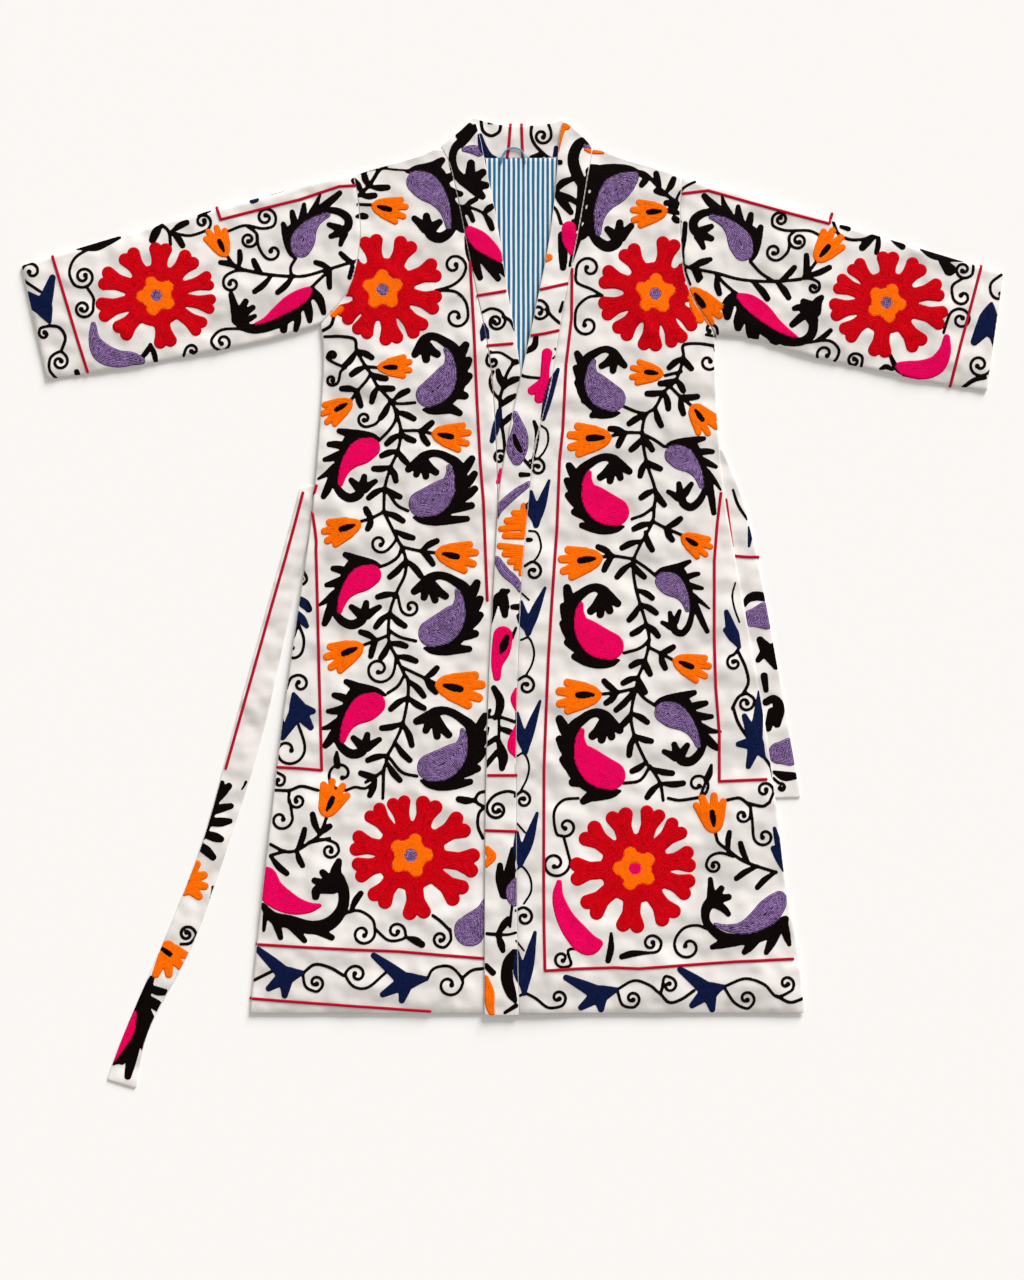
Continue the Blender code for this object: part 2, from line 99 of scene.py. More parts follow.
def linear(red: int, green: int, blue: int) -> Colour:
    """Turns a colour of 0 to 255 a channel into Blender's linear colour.

    Args:
        red: Red, 0 to 255.
        green: Green, 0 to 255.
        blue: Blue, 0 to 255.

    Returns:
        The linear colour with full alpha.
    """
    channels = [value / 255.0 for value in (red, green, blue)]
    curved = [value / 12.92 if value <= 0.04045 else ((value + 0.055) / 1.055) ** 2.4 for value in channels]
    return curved[0], curved[1], curved[2], 1.0


class Thread(Enum):
    """The colours of thread, each with how strongly its grain and the painted light and shade on its stitches
    show.
    """

    BLACK = (linear(11, 5, 4), 0.2)
    NAVY = (linear(13, 24, 61), 0.22)
    PURPLE = (linear(113, 88, 132), 0.62)
    PINK = (linear(228, 2, 88), 0.14)
    RED = (linear(197, 2, 17), 0.20)
    ORANGE = (linear(251, 108, 4), 0.11)

    @property
    def colour(self) -> Colour:
        """The linear colour."""
        return self.value[0]

    @property
    def grain(self) -> float:
        """The strength of the grain and of the painted light and shade on the stitches, 0 to 1."""
        return self.value[1]


class Layer(Enum):
    """The order in which thread covers thread: a later layer cuts the ones before it."""

    UNDER = 0
    MAIN = 1
    HEART = 2
    TOP = 3


@dataclass
class Canvas:
    """A chart of one cloth piece, with a distance field for each thread and layer.

    A field holds, for each chart node, the distance to the edge of the thread work, negative inside it.
    """

    left: float
    top: float
    right: float
    bottom: float
    step: float = 1.0
    blend: float = 1.3
    fields: dict[tuple[Layer, Thread], np.ndarray] = field(default_factory=dict)

    MARGIN = 4.0
    NUDGE = (0.01, 0.0, 0.0)

    def __post_init__(self) -> None:
        """Makes the columns and rows of the chart's nodes."""
        self.columns = np.arange(math.floor(self.left), math.ceil(self.right) + self.step, self.step)
        self.rows = np.arange(math.floor(self.top), math.ceil(self.bottom) + self.step, self.step)

    def window(self, low: Point, high: Point) -> tuple[slice, slice] | None:
        """Gives the part of the chart between two corners.

        Args:
            low: Lowest column and row.
            high: Highest column and row.

        Returns:
            The slices of rows and columns, or None when they miss the chart.
        """
        first_column, last_column = np.searchsorted(self.columns, (low[0], high[0]))
        first_row, last_row = np.searchsorted(self.rows, (low[1], high[1]))
        if first_column >= last_column or first_row >= last_row:
            return None
        return slice(first_row, last_row), slice(first_column, last_column)

    def sample(self, values: np.ndarray, places: np.ndarray) -> np.ndarray:
        """Reads the depth inside a field's zero line at places between the nodes.

        Args:
            values: A field.
            places: Columns and rows, one pair for each place.

        Returns:
            The depths, never below 0.
        """
        across = np.clip((places[:, 0] - self.columns[0]) / self.step, 0, self.columns.size - 1.001)
        down = np.clip((places[:, 1] - self.rows[0]) / self.step, 0, self.rows.size - 1.001)
        column, row = across.astype(int), down.astype(int)
        across, down = across - column, down - row
        upper = values[row, column] * (1 - across) + values[row, column + 1] * across
        lower = values[row + 1, column] * (1 - across) + values[row + 1, column + 1] * across
        return np.maximum(-(upper * (1 - down) + lower * down), 0.0)

    def stroke(self, thread: Thread, knots: list[Knot], layer: Layer = Layer.UNDER,
               blend: float | None = None) -> None:
        """Adds a stroke of thread that runs through knots, each with its own half width.

        Args:
            thread: The thread's colour.
            knots: Column, row and half width of each knot.
            layer: The layer that it lies in.
            blend: How softly it joins what it meets, in chart steps.
        """
        path = smooth_path(knots) if len(knots) > 2 else np.array(knots, dtype=float)
        reach = path[:, 2].max() + self.MARGIN
        area = self.window(tuple(path[:, :2].min(axis=0) - reach), tuple(path[:, :2].max(axis=0) + reach))
        if area is None:
            return
        columns = self.columns[area[1]][None, :]
        rows = self.rows[area[0]][:, None]
        nearest = np.full((rows.size, columns.size), FAR)
        if len(path) == 1:
            path = np.vstack([path, path + self.NUDGE])
        for start, end in zip(path[:-1], path[1:]):
            along = end[:2] - start[:2]
            length = max(float(along @ along), TINY)
            share = ((columns - start[0]) * along[0] + (rows - start[1]) * along[1]) / length
            share = np.clip(share, 0.0, 1.0)
            gap = np.hypot(columns - start[0] - share * along[0], rows - start[1] - share * along[1])
            nearest = np.minimum(nearest, gap - start[2] - share * (end[2] - start[2]))
        whole = self.fields.setdefault((layer, thread), np.full((self.rows.size, self.columns.size), FAR))
        whole[area] = soft_union(whole[area], nearest, self.blend if blend is None else blend)


def soft_union(first: np.ndarray, second: np.ndarray, blend: float) -> np.ndarray:
    """Joins two distance fields with a rounded inner corner.

    Args:
        first: The first field.
        second: The second field.
        blend: The size of the rounding.

    Returns:
        The field of both together.
    """
    if blend <= 0.0:
        return np.minimum(first, second)
    overlap = np.maximum(blend - np.abs(first - second), 0.0) / blend
    return np.minimum(first, second) - overlap * overlap * blend * 0.25


def smooth_path(knots: list[Knot], spans: int = 5) -> np.ndarray:
    """Reads points from a smooth curve through knots.

    Args:
        knots: Column, row and half width of each knot.
        spans: How many points are read between two knots.

    Returns:
        One row for each point: column, row, half width.
    """
    given = np.array(knots, dtype=float)
    padded = np.vstack([2 * given[0] - given[1], given, 2 * given[-1] - given[-2]])
    share = np.linspace(0.0, 1.0, spans, endpoint=False)[:, None]
    found = []
    for before, start, end, after in zip(padded[:-3], padded[1:-2], padded[2:-1], padded[3:]):
        found.append(0.5 * (2 * start + (end - before) * share
                            + (2 * before - 5 * start + 4 * end - after) * share ** 2
                            + (3 * start - before - 3 * end + after) * share ** 3))
    found.append(given[-1:])
    path = np.vstack(found)
    path[:, 2] = np.maximum(path[:, 2], 0.4)
    return path


def polar(centre: Point, angle: float, distance: float) -> Point:
    """Gives the chart place at a distance from a centre.

    Args:
        centre: The centre's column and row.
        angle: Degrees, counted anticlockwise from the right.
        distance: Chart steps.

    Returns:
        Column and row.
    """
    return (centre[0] + distance * math.cos(math.radians(angle)),
            centre[1] - distance * math.sin(math.radians(angle)))


def bearing(start: Point, end: Point) -> float:
    """Gives the angle from one chart place to another, in degrees, anticlockwise from the right."""
    return math.degrees(math.atan2(start[1] - end[1], end[0] - start[0]))


@dataclass(frozen=True)
class Rosette:
    """A round flower with cleft petals, a lobed centre and a dot."""

    at: Point
    petals: tuple[Point, ...]
    heart_turn: float
    size: float = 1.0
    heart: Thread = Thread.PURPLE

    REACH = 58.0
    ROOM = 31.0
    ROOT = 14.0
    WAIST = 41.0
    PETAL_WIDE = 8.6
    LOBE_TURN = 29.0
    LOBE_OUT = 12.4
    LOBE_WIDE = (8.4, 6.9)
    DISC = 32.5
    HEART_LOBES = 5
    HEART_OUT = 14.6
    HEART_WIDE = (15.0, 6.6)
    DOT = 6.3

    def sew(self, canvas: Canvas) -> None:
        """Draws the flower on a chart."""
        for angle, reach in self.petals:
            unit = reach / self.REACH
            others = [other for other, _ in self.petals if other != angle]
            gap = min(abs((other - angle + 180.0) % 360.0 - 180.0) for other in others)
            wide = self.size * min(1.0, gap / self.ROOM)
            root = polar(self.at, angle, self.ROOT)
            waist = polar(self.at, angle, self.WAIST * unit)
            petal = [(*root, self.PETAL_WIDE * wide), (*waist, self.PETAL_WIDE * wide)]
            canvas.stroke(Thread.RED, petal, Layer.MAIN, CRISP_JOIN)
            for side in (-1, 1):
                end = polar(waist, angle + side * self.LOBE_TURN * wide, self.LOBE_OUT * unit)
                lobe = [(*waist, self.LOBE_WIDE[0] * wide), (*end, self.LOBE_WIDE[1] * wide)]
                canvas.stroke(Thread.RED, lobe, Layer.MAIN, CRISP_JOIN)
        canvas.stroke(Thread.RED, [(*self.at, self.DISC * self.size)], Layer.MAIN, DISC_JOIN)
        for index in range(self.HEART_LOBES):
            turn = self.heart_turn - 360.0 / self.HEART_LOBES * index
            end = polar(self.at, turn, self.HEART_OUT * self.size)
            lobe = [(*self.at, self.HEART_WIDE[0] * self.size), (*end, self.HEART_WIDE[1] * self.size)]
            canvas.stroke(Thread.ORANGE, lobe, Layer.HEART, HEART_JOIN)
        canvas.stroke(self.heart, [(*self.at, self.DOT * self.size)], Layer.TOP)


@dataclass(frozen=True)
class Tulip:
    """A cup of four fingers on a stem, with a dark seed."""

    base: Point
    tip: Point
    wide: float = 1.0
    thread: Thread = Thread.ORANGE

    LENGTH = 30.0
    UPRIGHT = 90.0
    SEED = ((0, 5.5, 1.2), (0.5, 11, 2.4), (0.8, 16, 2.2))

    def sew(self, canvas: Canvas) -> None:
        """Draws the flower on a chart."""
        place = Template(self.base, self.tip, self.LENGTH, self.UPRIGHT, 1)
        size = self.wide
        cup = ((0, 4, 4.5), (0, 8, 7.4 * size), (0.4, 12.5, 8.6 * size))
        fingers = (
            ((-4.6 * size, 11, 4.3), (-9.3 * size, 24, 2.9)), ((-2 * size, 14, 4.2), (-4.0 * size, 29, 3.0)),
            ((2 * size, 14, 4.2), (4.6 * size, 28.5, 3.0)), ((5.2 * size, 11, 4.3), (10.2 * size, 22.5, 2.9)),
        )
        canvas.stroke(self.thread, place.knots(cup), Layer.MAIN, CRISP_JOIN)
        for finger in fingers:
            canvas.stroke(self.thread, place.knots(finger), Layer.MAIN, CRISP_JOIN)
        canvas.stroke(Thread.BLACK, place.knots(self.SEED), Layer.TOP)


@dataclass(frozen=True)
class Template:
    """Turns, sizes and mirrors a small drawing on to two places of the chart."""

    origin: Point
    end: Point
    length: float
    angle: float
    hand: int

    def knots(self, drawing: tuple[Knot, ...], plump: float = 1.0) -> list[Knot]:
        """Places a drawing's knots.

        Args:
            drawing: Across, up and half width of each knot.
            plump: What the half widths are multiplied by, beside the size.

        Returns:
            Column, row and half width of each knot.
        """
        scale = math.dist(self.origin, self.end) / self.length
        heading = bearing(self.origin, self.end)
        placed = []
        for across, up, half_width in drawing:
            turned = math.degrees(math.atan2(up, across)) - self.angle
            place = polar(self.origin, heading + self.hand * turned, math.hypot(across, up) * scale)
            placed.append((*place, half_width * scale * plump))
        return placed


STIFFNESS = 40.0


def bend(marks: np.ndarray, places: np.ndarray, spots: np.ndarray) -> np.ndarray:
    """Bends a drawing smoothly so that its marks come to lie on given places.

    Args:
        marks: The marks in the drawing.
        places: Where they lie on the chart.
        spots: Other places in the drawing.

    Returns:
        Where those lie on the chart.
    """
    def spread(first: np.ndarray, second: np.ndarray) -> np.ndarray:
        square = ((first[:, None, :] - second[None, :, :]) ** 2).sum(axis=2)
        return square * np.log(square + TINY)

    def plane(some: np.ndarray) -> np.ndarray:
        return np.column_stack([np.ones(len(some)), some])

    system = np.block([[spread(marks, marks) + np.eye(len(marks)) * STIFFNESS, plane(marks)],
                       [plane(marks).T, np.zeros((3, 3))]])
    weights = np.linalg.solve(system, np.vstack([places, np.zeros((3, 2))]))
    return np.hstack([spread(spots, marks), plane(spots)]) @ weights


@dataclass(frozen=True)
class Plume:
    """A drawing of a drop with its wing and leaf.

    Its knots lie to the right of and above the drop's middle, each with its half width.
    """

    tip: Point
    marks: tuple[Point, ...]
    hugs: tuple[tuple[float, float, float, float], ...]
    drop: tuple[Knot, ...]
    wing: tuple[tuple[Knot, ...], ...]


WIDE = Plume(
    tip=(26.0, 39.0), marks=((50.2, 44.3), (45.0, -16.2), (-15.0, 32.0)),
    hugs=((0, -1, -7.3, -10.7), (11, 3, 1.7, -15.3), (20, 11, 8.7, -9.3), (26, 19, 8, 1.3),
          (26.7, 36, 0, 2.7)),
    drop=((0, -1, 13.4), (11, 3, 15), (20, 11, 12.2), (26, 19, 7.2), (28, 29, 4.3), (26.7, 36, 2.5)),
    wing=(((-8, -14.5, 1.5), (0, -16.5, 4.5), (12, -18, 5.2), (24, -17.4, 5), (33, -17, 4.3),
          (45, -16.2, 3.3)),
          ((10, -12, 8), (20, -8, 8.6), (29, 2, 10), (34.5, 14.5, 9.8), (37, 27, 9), (37.5, 34, 6.6),
           (33.5, 40.5, 5.3),
           (27.5, 44.5, 4.6), (19, 48.5, 4.1), (10, 49.5, 4.1), (2, 46, 5.2), (-1, 41, 7)),
          ((41, 30, 4.5), (46, 38, 4.9), (50.2, 44.3, 3.8)), ((40, 15, 4.5), (47.5, 22, 4.7),
           (52.7, 29, 3.7)),
          ((36, 2, 4.8), (46, 8.5, 4.8), (53, 14, 3.7)), ((28, -7, 4.6), (40, -4.3, 4.8),
           (49.5, -2.8, 3.8)),
          ((-1, 42, 6.5), (-8, 37.5, 4.8), (-13.5, 33.5, 3.7)), ((2, 40, 6), (9, 34, 4.4), (14, 30.5, 3.8)),
          ((-2, 38, 4.5), (-5.5, 28.5, 3.6)), ((2.5, 38, 4.5), (4, 26.5, 3.7))),
)
WIDE_THREE = replace(WIDE, wing=WIDE.wing[:-2] + (((0.5, 38, 5.4), (-1, 27, 4)),))
SLIM = Plume(
    tip=(-27.0, -37.0), marks=((-43.5, -46.5), (-27.0, 19.0), (7.5, -31.5)),
    hugs=((2, 2, 10, 7), (-6, -2, 4, 14), (-6, -2, -8, 9), (-15, -9, -7, 3), (-22, -18, -6, -2),
          (-27, -34, -3.5, 1)),
    drop=((2, 2, 10.6), (-6, -2, 12.6), (-15, -9, 9.2), (-22, -18, 5.9), (-25.5, -27, 4), (-27, -34, 2.8)),
    wing=(((12, 10.5, 1.5), (4, 13, 4.2), (-6, 14.2, 5.4), (-16, 15.6, 5.2), (-23, 17.5, 4),
          (-28.5, 18.7, 3)),
          ((-10, 8, 5), (-18, 10, 6), (-23.5, -1, 5), (-29, -14, 4.8), (-33.5, -27, 5.3),
           (-31.5, -36, 3.9), (-26, -44, 4.4),
           (-17.5, -48.2, 4.8), (-9, -44.8, 4.9), (-6.5, -38, 5)),
          ((-24, 4, 4.5), (-32, 5.2, 4), (-38.5, 5.5, 3.1)), ((-28, -5, 4.6), (-36, -8, 3.9),
           (-43, -9.8, 2.6)),
          ((-33, -18, 4.6), (-41, -24, 3.2), (-49.5, -29, 1.5)), ((-36, -30, 4.8), (-40.5, -40, 4.3),
           (-44, -46.5, 3.3)),
          ((-10, -37, 4.8), (-16.5, -30.5, 3.1)), ((-5, -35, 4.6), (-3.5, -27, 3.3)),
          ((-3, -39, 4.8), (3, -34.5, 3.6), (7.5, -31.5, 2.9))),
)


@dataclass(frozen=True)
class Paisley:
    """A curved drop in a dark feathered wing whose end folds over into a leaf.

    The drawing is bent so that it hugs the drop and reaches the tips of its first and last feather and
    the leaf's outer tip.
    """

    at: Point
    tip: Point
    thread: Thread
    hand: int
    first: Point
    last: Point
    fold: Point
    plump: float = 1.0
    plume: Plume = SLIM

    def sew(self, canvas: Canvas) -> None:
        """Draws the drop, its wing and its leaf on a chart."""
        plume = self.plume
        length = math.hypot(*plume.tip)
        angle = math.degrees(math.atan2(plume.tip[1], plume.tip[0]))
        drop = Template(self.at, self.tip, length, angle, self.hand)
        canvas.stroke(self.thread, drop.knots(plume.drop, self.plump), Layer.MAIN, CRISP_JOIN)
        marks = plume.marks + tuple((across + right, up + rise) for across, up, right, rise in plume.hugs)
        edge = tuple((across + right * self.plump, up + rise * self.plump, 0.0)
                     for across, up, right, rise in plume.hugs)
        places = [self.first, self.last, self.fold] + [knot[:2] for knot in drop.knots(edge)]
        size = math.dist(self.at, self.tip) / length
        for stroke in plume.wing:
            knots = np.array(stroke, dtype=float)
            spots = bend(np.array(marks), np.array(places), knots[:, :2])
            canvas.stroke(Thread.BLACK, np.column_stack([spots, knots[:, 2] * size]), blend=FEATHER_JOIN)


@dataclass(frozen=True)
class Leaf:
    """A single narrow leaf with a round end."""

    root: Point
    tip: Point
    wide: float = 3.6
    thread: Thread = Thread.BLACK

    BOW = 0.05
    MIDDLE = 0.55
    ROOT_WIDE = 1.8
    TIP_SHARE = 0.88

    def sew(self, canvas: Canvas) -> None:
        """Draws the leaf on a chart."""
        across = (self.tip[0] - self.root[0], self.tip[1] - self.root[1])
        bow = self.BOW if int(self.root[0] + self.root[1]) % 2 else -self.BOW
        middle = (self.root[0] + self.MIDDLE * across[0] - bow * across[1],
                  self.root[1] + self.MIDDLE * across[1] + bow * across[0])
        knots = [(*self.root, self.ROOT_WIDE), (*middle, self.wide), (*self.tip, self.wide * self.TIP_SHARE)]
        canvas.stroke(self.thread, knots)


@dataclass(frozen=True)
class Sprig:
    """Leaves that spread from one place of a stem."""

    root: Point
    tips: tuple[Point, ...]
    wide: float = 3.6

    def sew(self, canvas: Canvas) -> None:
        """Draws the leaves on a chart."""
        for tip in self.tips:
            Leaf(self.root, tip, self.wide).sew(canvas)


@dataclass(frozen=True)
class Stem:
    """A smooth line of even width."""

    places: tuple[Point, ...]
    half_width: float = 1.85

    def sew(self, canvas: Canvas) -> None:
        """Draws the line on a chart."""
        canvas.stroke(Thread.BLACK, [(*place, self.half_width) for place in self.places])


@dataclass(frozen=True)
class Curl:
    """A thin line that ends in a spiral."""

    path: tuple[Point, ...]
    centre: Point
    hand: int
    turns: float = 1.1
    half_width: float = 1.7
    thread: Thread = Thread.BLACK

    STEPS = 10
    CLOSING = 0.80
    EASE = 0.85
    END_SIZE = 1.6

    def sew(self, canvas: Canvas) -> None:
        """Draws the line and its spiral on a chart."""
        start = self.path[-1]
        angle = bearing(self.centre, start)
        radius = math.dist(self.centre, start)
        knots = [(*place, self.half_width) for place in self.path]
        steps = max(4, round(self.turns * self.STEPS))
        for index in range(1, steps + 1):
            share = index / steps
            distance = radius * (1.0 - self.CLOSING * share ** self.EASE)
            turned = angle + self.hand * 360.0 * self.turns * share
            knots.append((*polar(self.centre, turned, distance), self.half_width))
        canvas.stroke(self.thread, knots, blend=CURL_JOIN)
        canvas.stroke(self.thread, [(*knots[-1][:2], self.half_width * self.END_SIZE)], blend=CURL_JOIN)


@dataclass(frozen=True)
class Free:
    """A shape of one thread, drawn as strokes of changing width."""

    thread: Thread
    strokes: tuple[tuple[Knot, ...], ...]
    layer: Layer = Layer.UNDER
    blend: float = 1.3

    def sew(self, canvas: Canvas) -> None:
        """Draws the strokes on a chart."""
        for stroke in self.strokes:
            canvas.stroke(self.thread, list(stroke), self.layer, self.blend)


@dataclass(frozen=True)
class Lily:
    """A navy flower of three or four fingers that spread from its base."""

    base: Point
    tips: tuple[Point, ...]
    thread: Thread = Thread.NAVY
    wide: float = 5.0

    BASE_WIDE = 1.6
    PALM_SIZE = 1.55
    FINGER = ((0.45, 1.2), (1.0, 0.64))

    def sew(self, canvas: Canvas) -> None:
        """Draws the fingers on a chart."""
        palm = np.add(self.base, np.mean(self.tips, axis=0)) / 2.0
        for tip in self.tips:
            knots = [(*self.base, self.BASE_WIDE), (*np.add(self.base, palm) / 2.0, self.wide),
                     (*palm, self.PALM_SIZE * self.wide)]
            for share, wide in self.FINGER:
                knots.append((*np.add(palm, np.subtract(tip, palm) * share), wide * self.wide))
            canvas.stroke(self.thread, knots, Layer.MAIN, LILY_JOIN)


def places(numbers: tuple[float, ...]) -> tuple[Point, ...]:
    """Reads columns and rows in turn as places of the chart."""
    return tuple(zip(numbers[::2], numbers[1::2]))


def sprigs(*rows: tuple[float, ...]) -> tuple[Sprig, ...]:
    """Makes a sprig of each row of numbers: its root's place, then the places of its leaves' tips."""
    return tuple(Sprig(places(row)[0], places(row)[1:]) for row in rows)


def stems(*rows: tuple[float, ...]) -> tuple[Stem, ...]:
    """Makes a stem of each row of numbers: the places that it runs through."""
    return tuple(Stem(places(row)) for row in rows)


def curls(*rows: tuple[float, ...]) -> tuple[Curl, ...]:
    """Makes a curl of each row of numbers: its hand, the spiral's centre, then the places of its line."""
    return tuple(Curl(places(row[3:]), (row[1], row[2]), row[0]) for row in rows)


class Signal:
    """A shader socket that takes part in Python arithmetic on values."""

    def __init__(self, tree: bpy.types.NodeTree, socket: bpy.types.NodeSocket) -> None:
        """Keeps the tree and the socket."""
        self.tree = tree
        self.socket = socket

    def combine(self, operation: str, other: "Signal | float | None" = None) -> "Signal":
        """Adds a Math node.

        Args:
            operation: The Math node's operation.
            other: The second operand, where it has one.

        Returns:
            The node's result.
        """
        node = self.tree.nodes.new("ShaderNodeMath")
        node.operation = operation
        for socket, value in zip(node.inputs, (self, other)):
            if value is not None:
                plug(self.tree, socket, value)
        return Signal(self.tree, node.outputs[0])

    def __add__(self, other: "Signal | float") -> "Signal":
        """Adds."""
        return self.combine("ADD", other)

    def __mul__(self, other: "Signal | float") -> "Signal":
        """Multiplies."""
        return self.combine("MULTIPLY", other)

    def __sub__(self, other: "Signal | float") -> "Signal":
        """Subtracts."""
        return self.combine("SUBTRACT", other)

    def __truediv__(self, other: "Signal | float") -> "Signal":
        """Divides."""
        return self.combine("DIVIDE", other)

    def sine(self) -> "Signal":
        """Gives the sine."""
        return self.combine("SINE")

    def fraction(self) -> "Signal":
        """Gives what is left after the whole number."""
        return self.combine("FRACT")

    def absolute(self) -> "Signal":
        """Gives the size without its sign."""
        return self.combine("ABSOLUTE")


def plug(tree: bpy.types.NodeTree, socket: bpy.types.NodeSocket, value: object) -> None:
    """Links a signal to a socket, or sets the socket's own value.

    Args:
        tree: The node tree.
        socket: The input socket.
        value: A signal, a number or a tuple.
    """
    if isinstance(value, Signal):
        tree.links.new(value.socket, socket)
    else:
        socket.default_value = value


class Recipe:
    """A material that is built node by node."""

    def __init__(self, name: str) -> None:
        """Makes an empty material with a name."""
        self.material = bpy.data.materials.new(name)
        self.material.use_nodes = True
        self.tree = self.material.node_tree
        self.tree.nodes.clear()

    def node(self, kind: str, settings: dict[str, object] | None = None,
             inputs: dict[object, object] | None = None, output: int | str = 0) -> Signal:
        """Adds a node.

        Args:
            kind: The node's type.
            settings: Its own settings, set first.
            inputs: Values or signals by socket name or number.
            output: Which output to give.

        Returns:
            The chosen output.
        """
        made = self.tree.nodes.new(kind)
        for key, value in (settings or {}).items():
            setattr(made, key, value)
        for key, value in (inputs or {}).items():
            plug(self.tree, made.inputs[key], value)
        return Signal(self.tree, made.outputs[output])

    def place(self) -> Signal:
        """Gives the Object coordinates, in metres."""
        return self.node("ShaderNodeTexCoord", output="Object")

    def axis(self, name: str) -> Signal:
        """Gives one Object coordinate."""
        return self.node("ShaderNodeSeparateXYZ", inputs={0: self.place()}, output=name)

    def noise(self, size: float, detail: float = 2.0, rough: float = 0.5,
              stretch: Point = (1.0, 1.0)) -> Signal:
        """Gives noise between 0 and 1.

        Args:
            size: The size of a patch, in metres.
            detail: Levels of detail.
            rough: How strong the finer levels are.
            stretch: What the pattern is stretched by along X and Y.

        Returns:
            The noise.
        """
        scaled = self.node("ShaderNodeMapping", {"vector_type": "POINT"},
                           {"Vector": self.place(), "Scale": (1 / stretch[0], 1 / stretch[1], 1.0)})
        return self.node("ShaderNodeTexNoise", inputs={"Vector": scaled, "Scale": 1 / size, "Detail": detail,
                                                       "Roughness": rough})

    def blend(self, share: Signal | float, first: object, second: object) -> Signal:
        """Mixes two colours.

        Args:
            share: How much of the second colour.
            first: The first colour.
            second: The second colour.

        Returns:
            The mixed colour.
        """
        return self.node("ShaderNodeMix", {"data_type": "RGBA", "blend_type": "MIX", "clamp_factor": True},
                         {0: share, 6: first, 7: second}, output=2)

    def bump(self, height: Signal) -> Signal:
        """Turns a height in millimetres into a normal."""
        return self.node("ShaderNodeBump", inputs={"Height": height, "Distance": MM, "Strength": 1.0},
                         output="Normal")

    def finish(self, colour: object, roughness: Signal | float, normal: Signal | None = None,
               constants: dict[str, object] | None = None) -> bpy.types.Material:
        """Ends the material in a Principled shader.

        Args:
            colour: The base colour.
            roughness: The roughness.
            normal: The bumped normal.
            constants: Values that are the same all over.

        Returns:
            The material.
        """
        shader = self.tree.nodes.new("ShaderNodeBsdfPrincipled")
        plug(self.tree, shader.inputs["Base Color"], colour)
        plug(self.tree, shader.inputs["Roughness"], roughness)
        if normal is not None:
            plug(self.tree, shader.inputs["Normal"], normal)
        for key, value in (constants or {}).items():
            shader.inputs[key].default_value = value
        output = self.tree.nodes.new("ShaderNodeOutputMaterial")
        self.tree.links.new(shader.outputs[0], output.inputs[0])
        return self.material


@dataclass(frozen=True)
class CottonFinish:
    """Plain-woven off-white cotton, a little rumpled, with cloudy patches that are partly its uneven tone and
    partly painted shade.
    """

    name: str = "cotton_cloth"
    light: Colour = linear(231, 226, 222)
    shade: Colour = linear(221, 213, 206)
    yarn: float = 0.8 * MM
    rumple: float = 4.0
    sheen: float = 0.12
    # The size of the patches of uneven tone and painted shade, in metres.
    cloud_size: float = 0.045
    slub_size: float = 1.2 * MM
    fold_size: float = 0.05
    dent_size: float = 0.022
    roughness: float = 0.9

    TONE_AND_SHADE_TINT = 1.1
    SLUB_TINT = 0.25
    FOLD_SHARE = 1.9
    DENT_SHARE = 0.9
    WEAVE_HEIGHT = 0.035
    SLUB_HEIGHT = 0.04

    def build(self) -> bpy.types.Material:
        """Builds the cotton's material."""
        recipe = Recipe(self.name)
        turns = 2 * math.pi / self.yarn
        warp = (recipe.axis("X") * turns).sine()
        weft = (recipe.axis("Y") * turns).sine()
        weave = warp * weft
        # Patches of the darker colour: partly the cloth's own uneven tone, partly painted shade standing in
        # for soft shading on the rumpled cloth.
        tone_and_shade_patches = recipe.noise(self.cloud_size, 3.0, 0.55)
        slub = recipe.noise(self.slub_size, 2.0, 0.6, (6.0, 1.0))
        share = (tone_and_shade_patches - 0.45) * self.TONE_AND_SHADE_TINT + (slub - 0.5) * self.SLUB_TINT
        tint = recipe.blend(share, self.light, self.shade)
        folds = recipe.noise(self.fold_size, 0.0, 0.5, (1.7, 1.0)) * (self.rumple * self.FOLD_SHARE)
        rumples = folds + recipe.noise(self.dent_size, 0.0, 0.5) * (self.rumple * self.DENT_SHARE)
        height = weave * self.WEAVE_HEIGHT + slub * self.SLUB_HEIGHT + rumples
        return recipe.finish(tint, self.roughness, recipe.bump(height),
                             {"Sheen Weight": self.sheen, "Sheen Roughness": 0.5, "Specular IOR Level": 0.15})


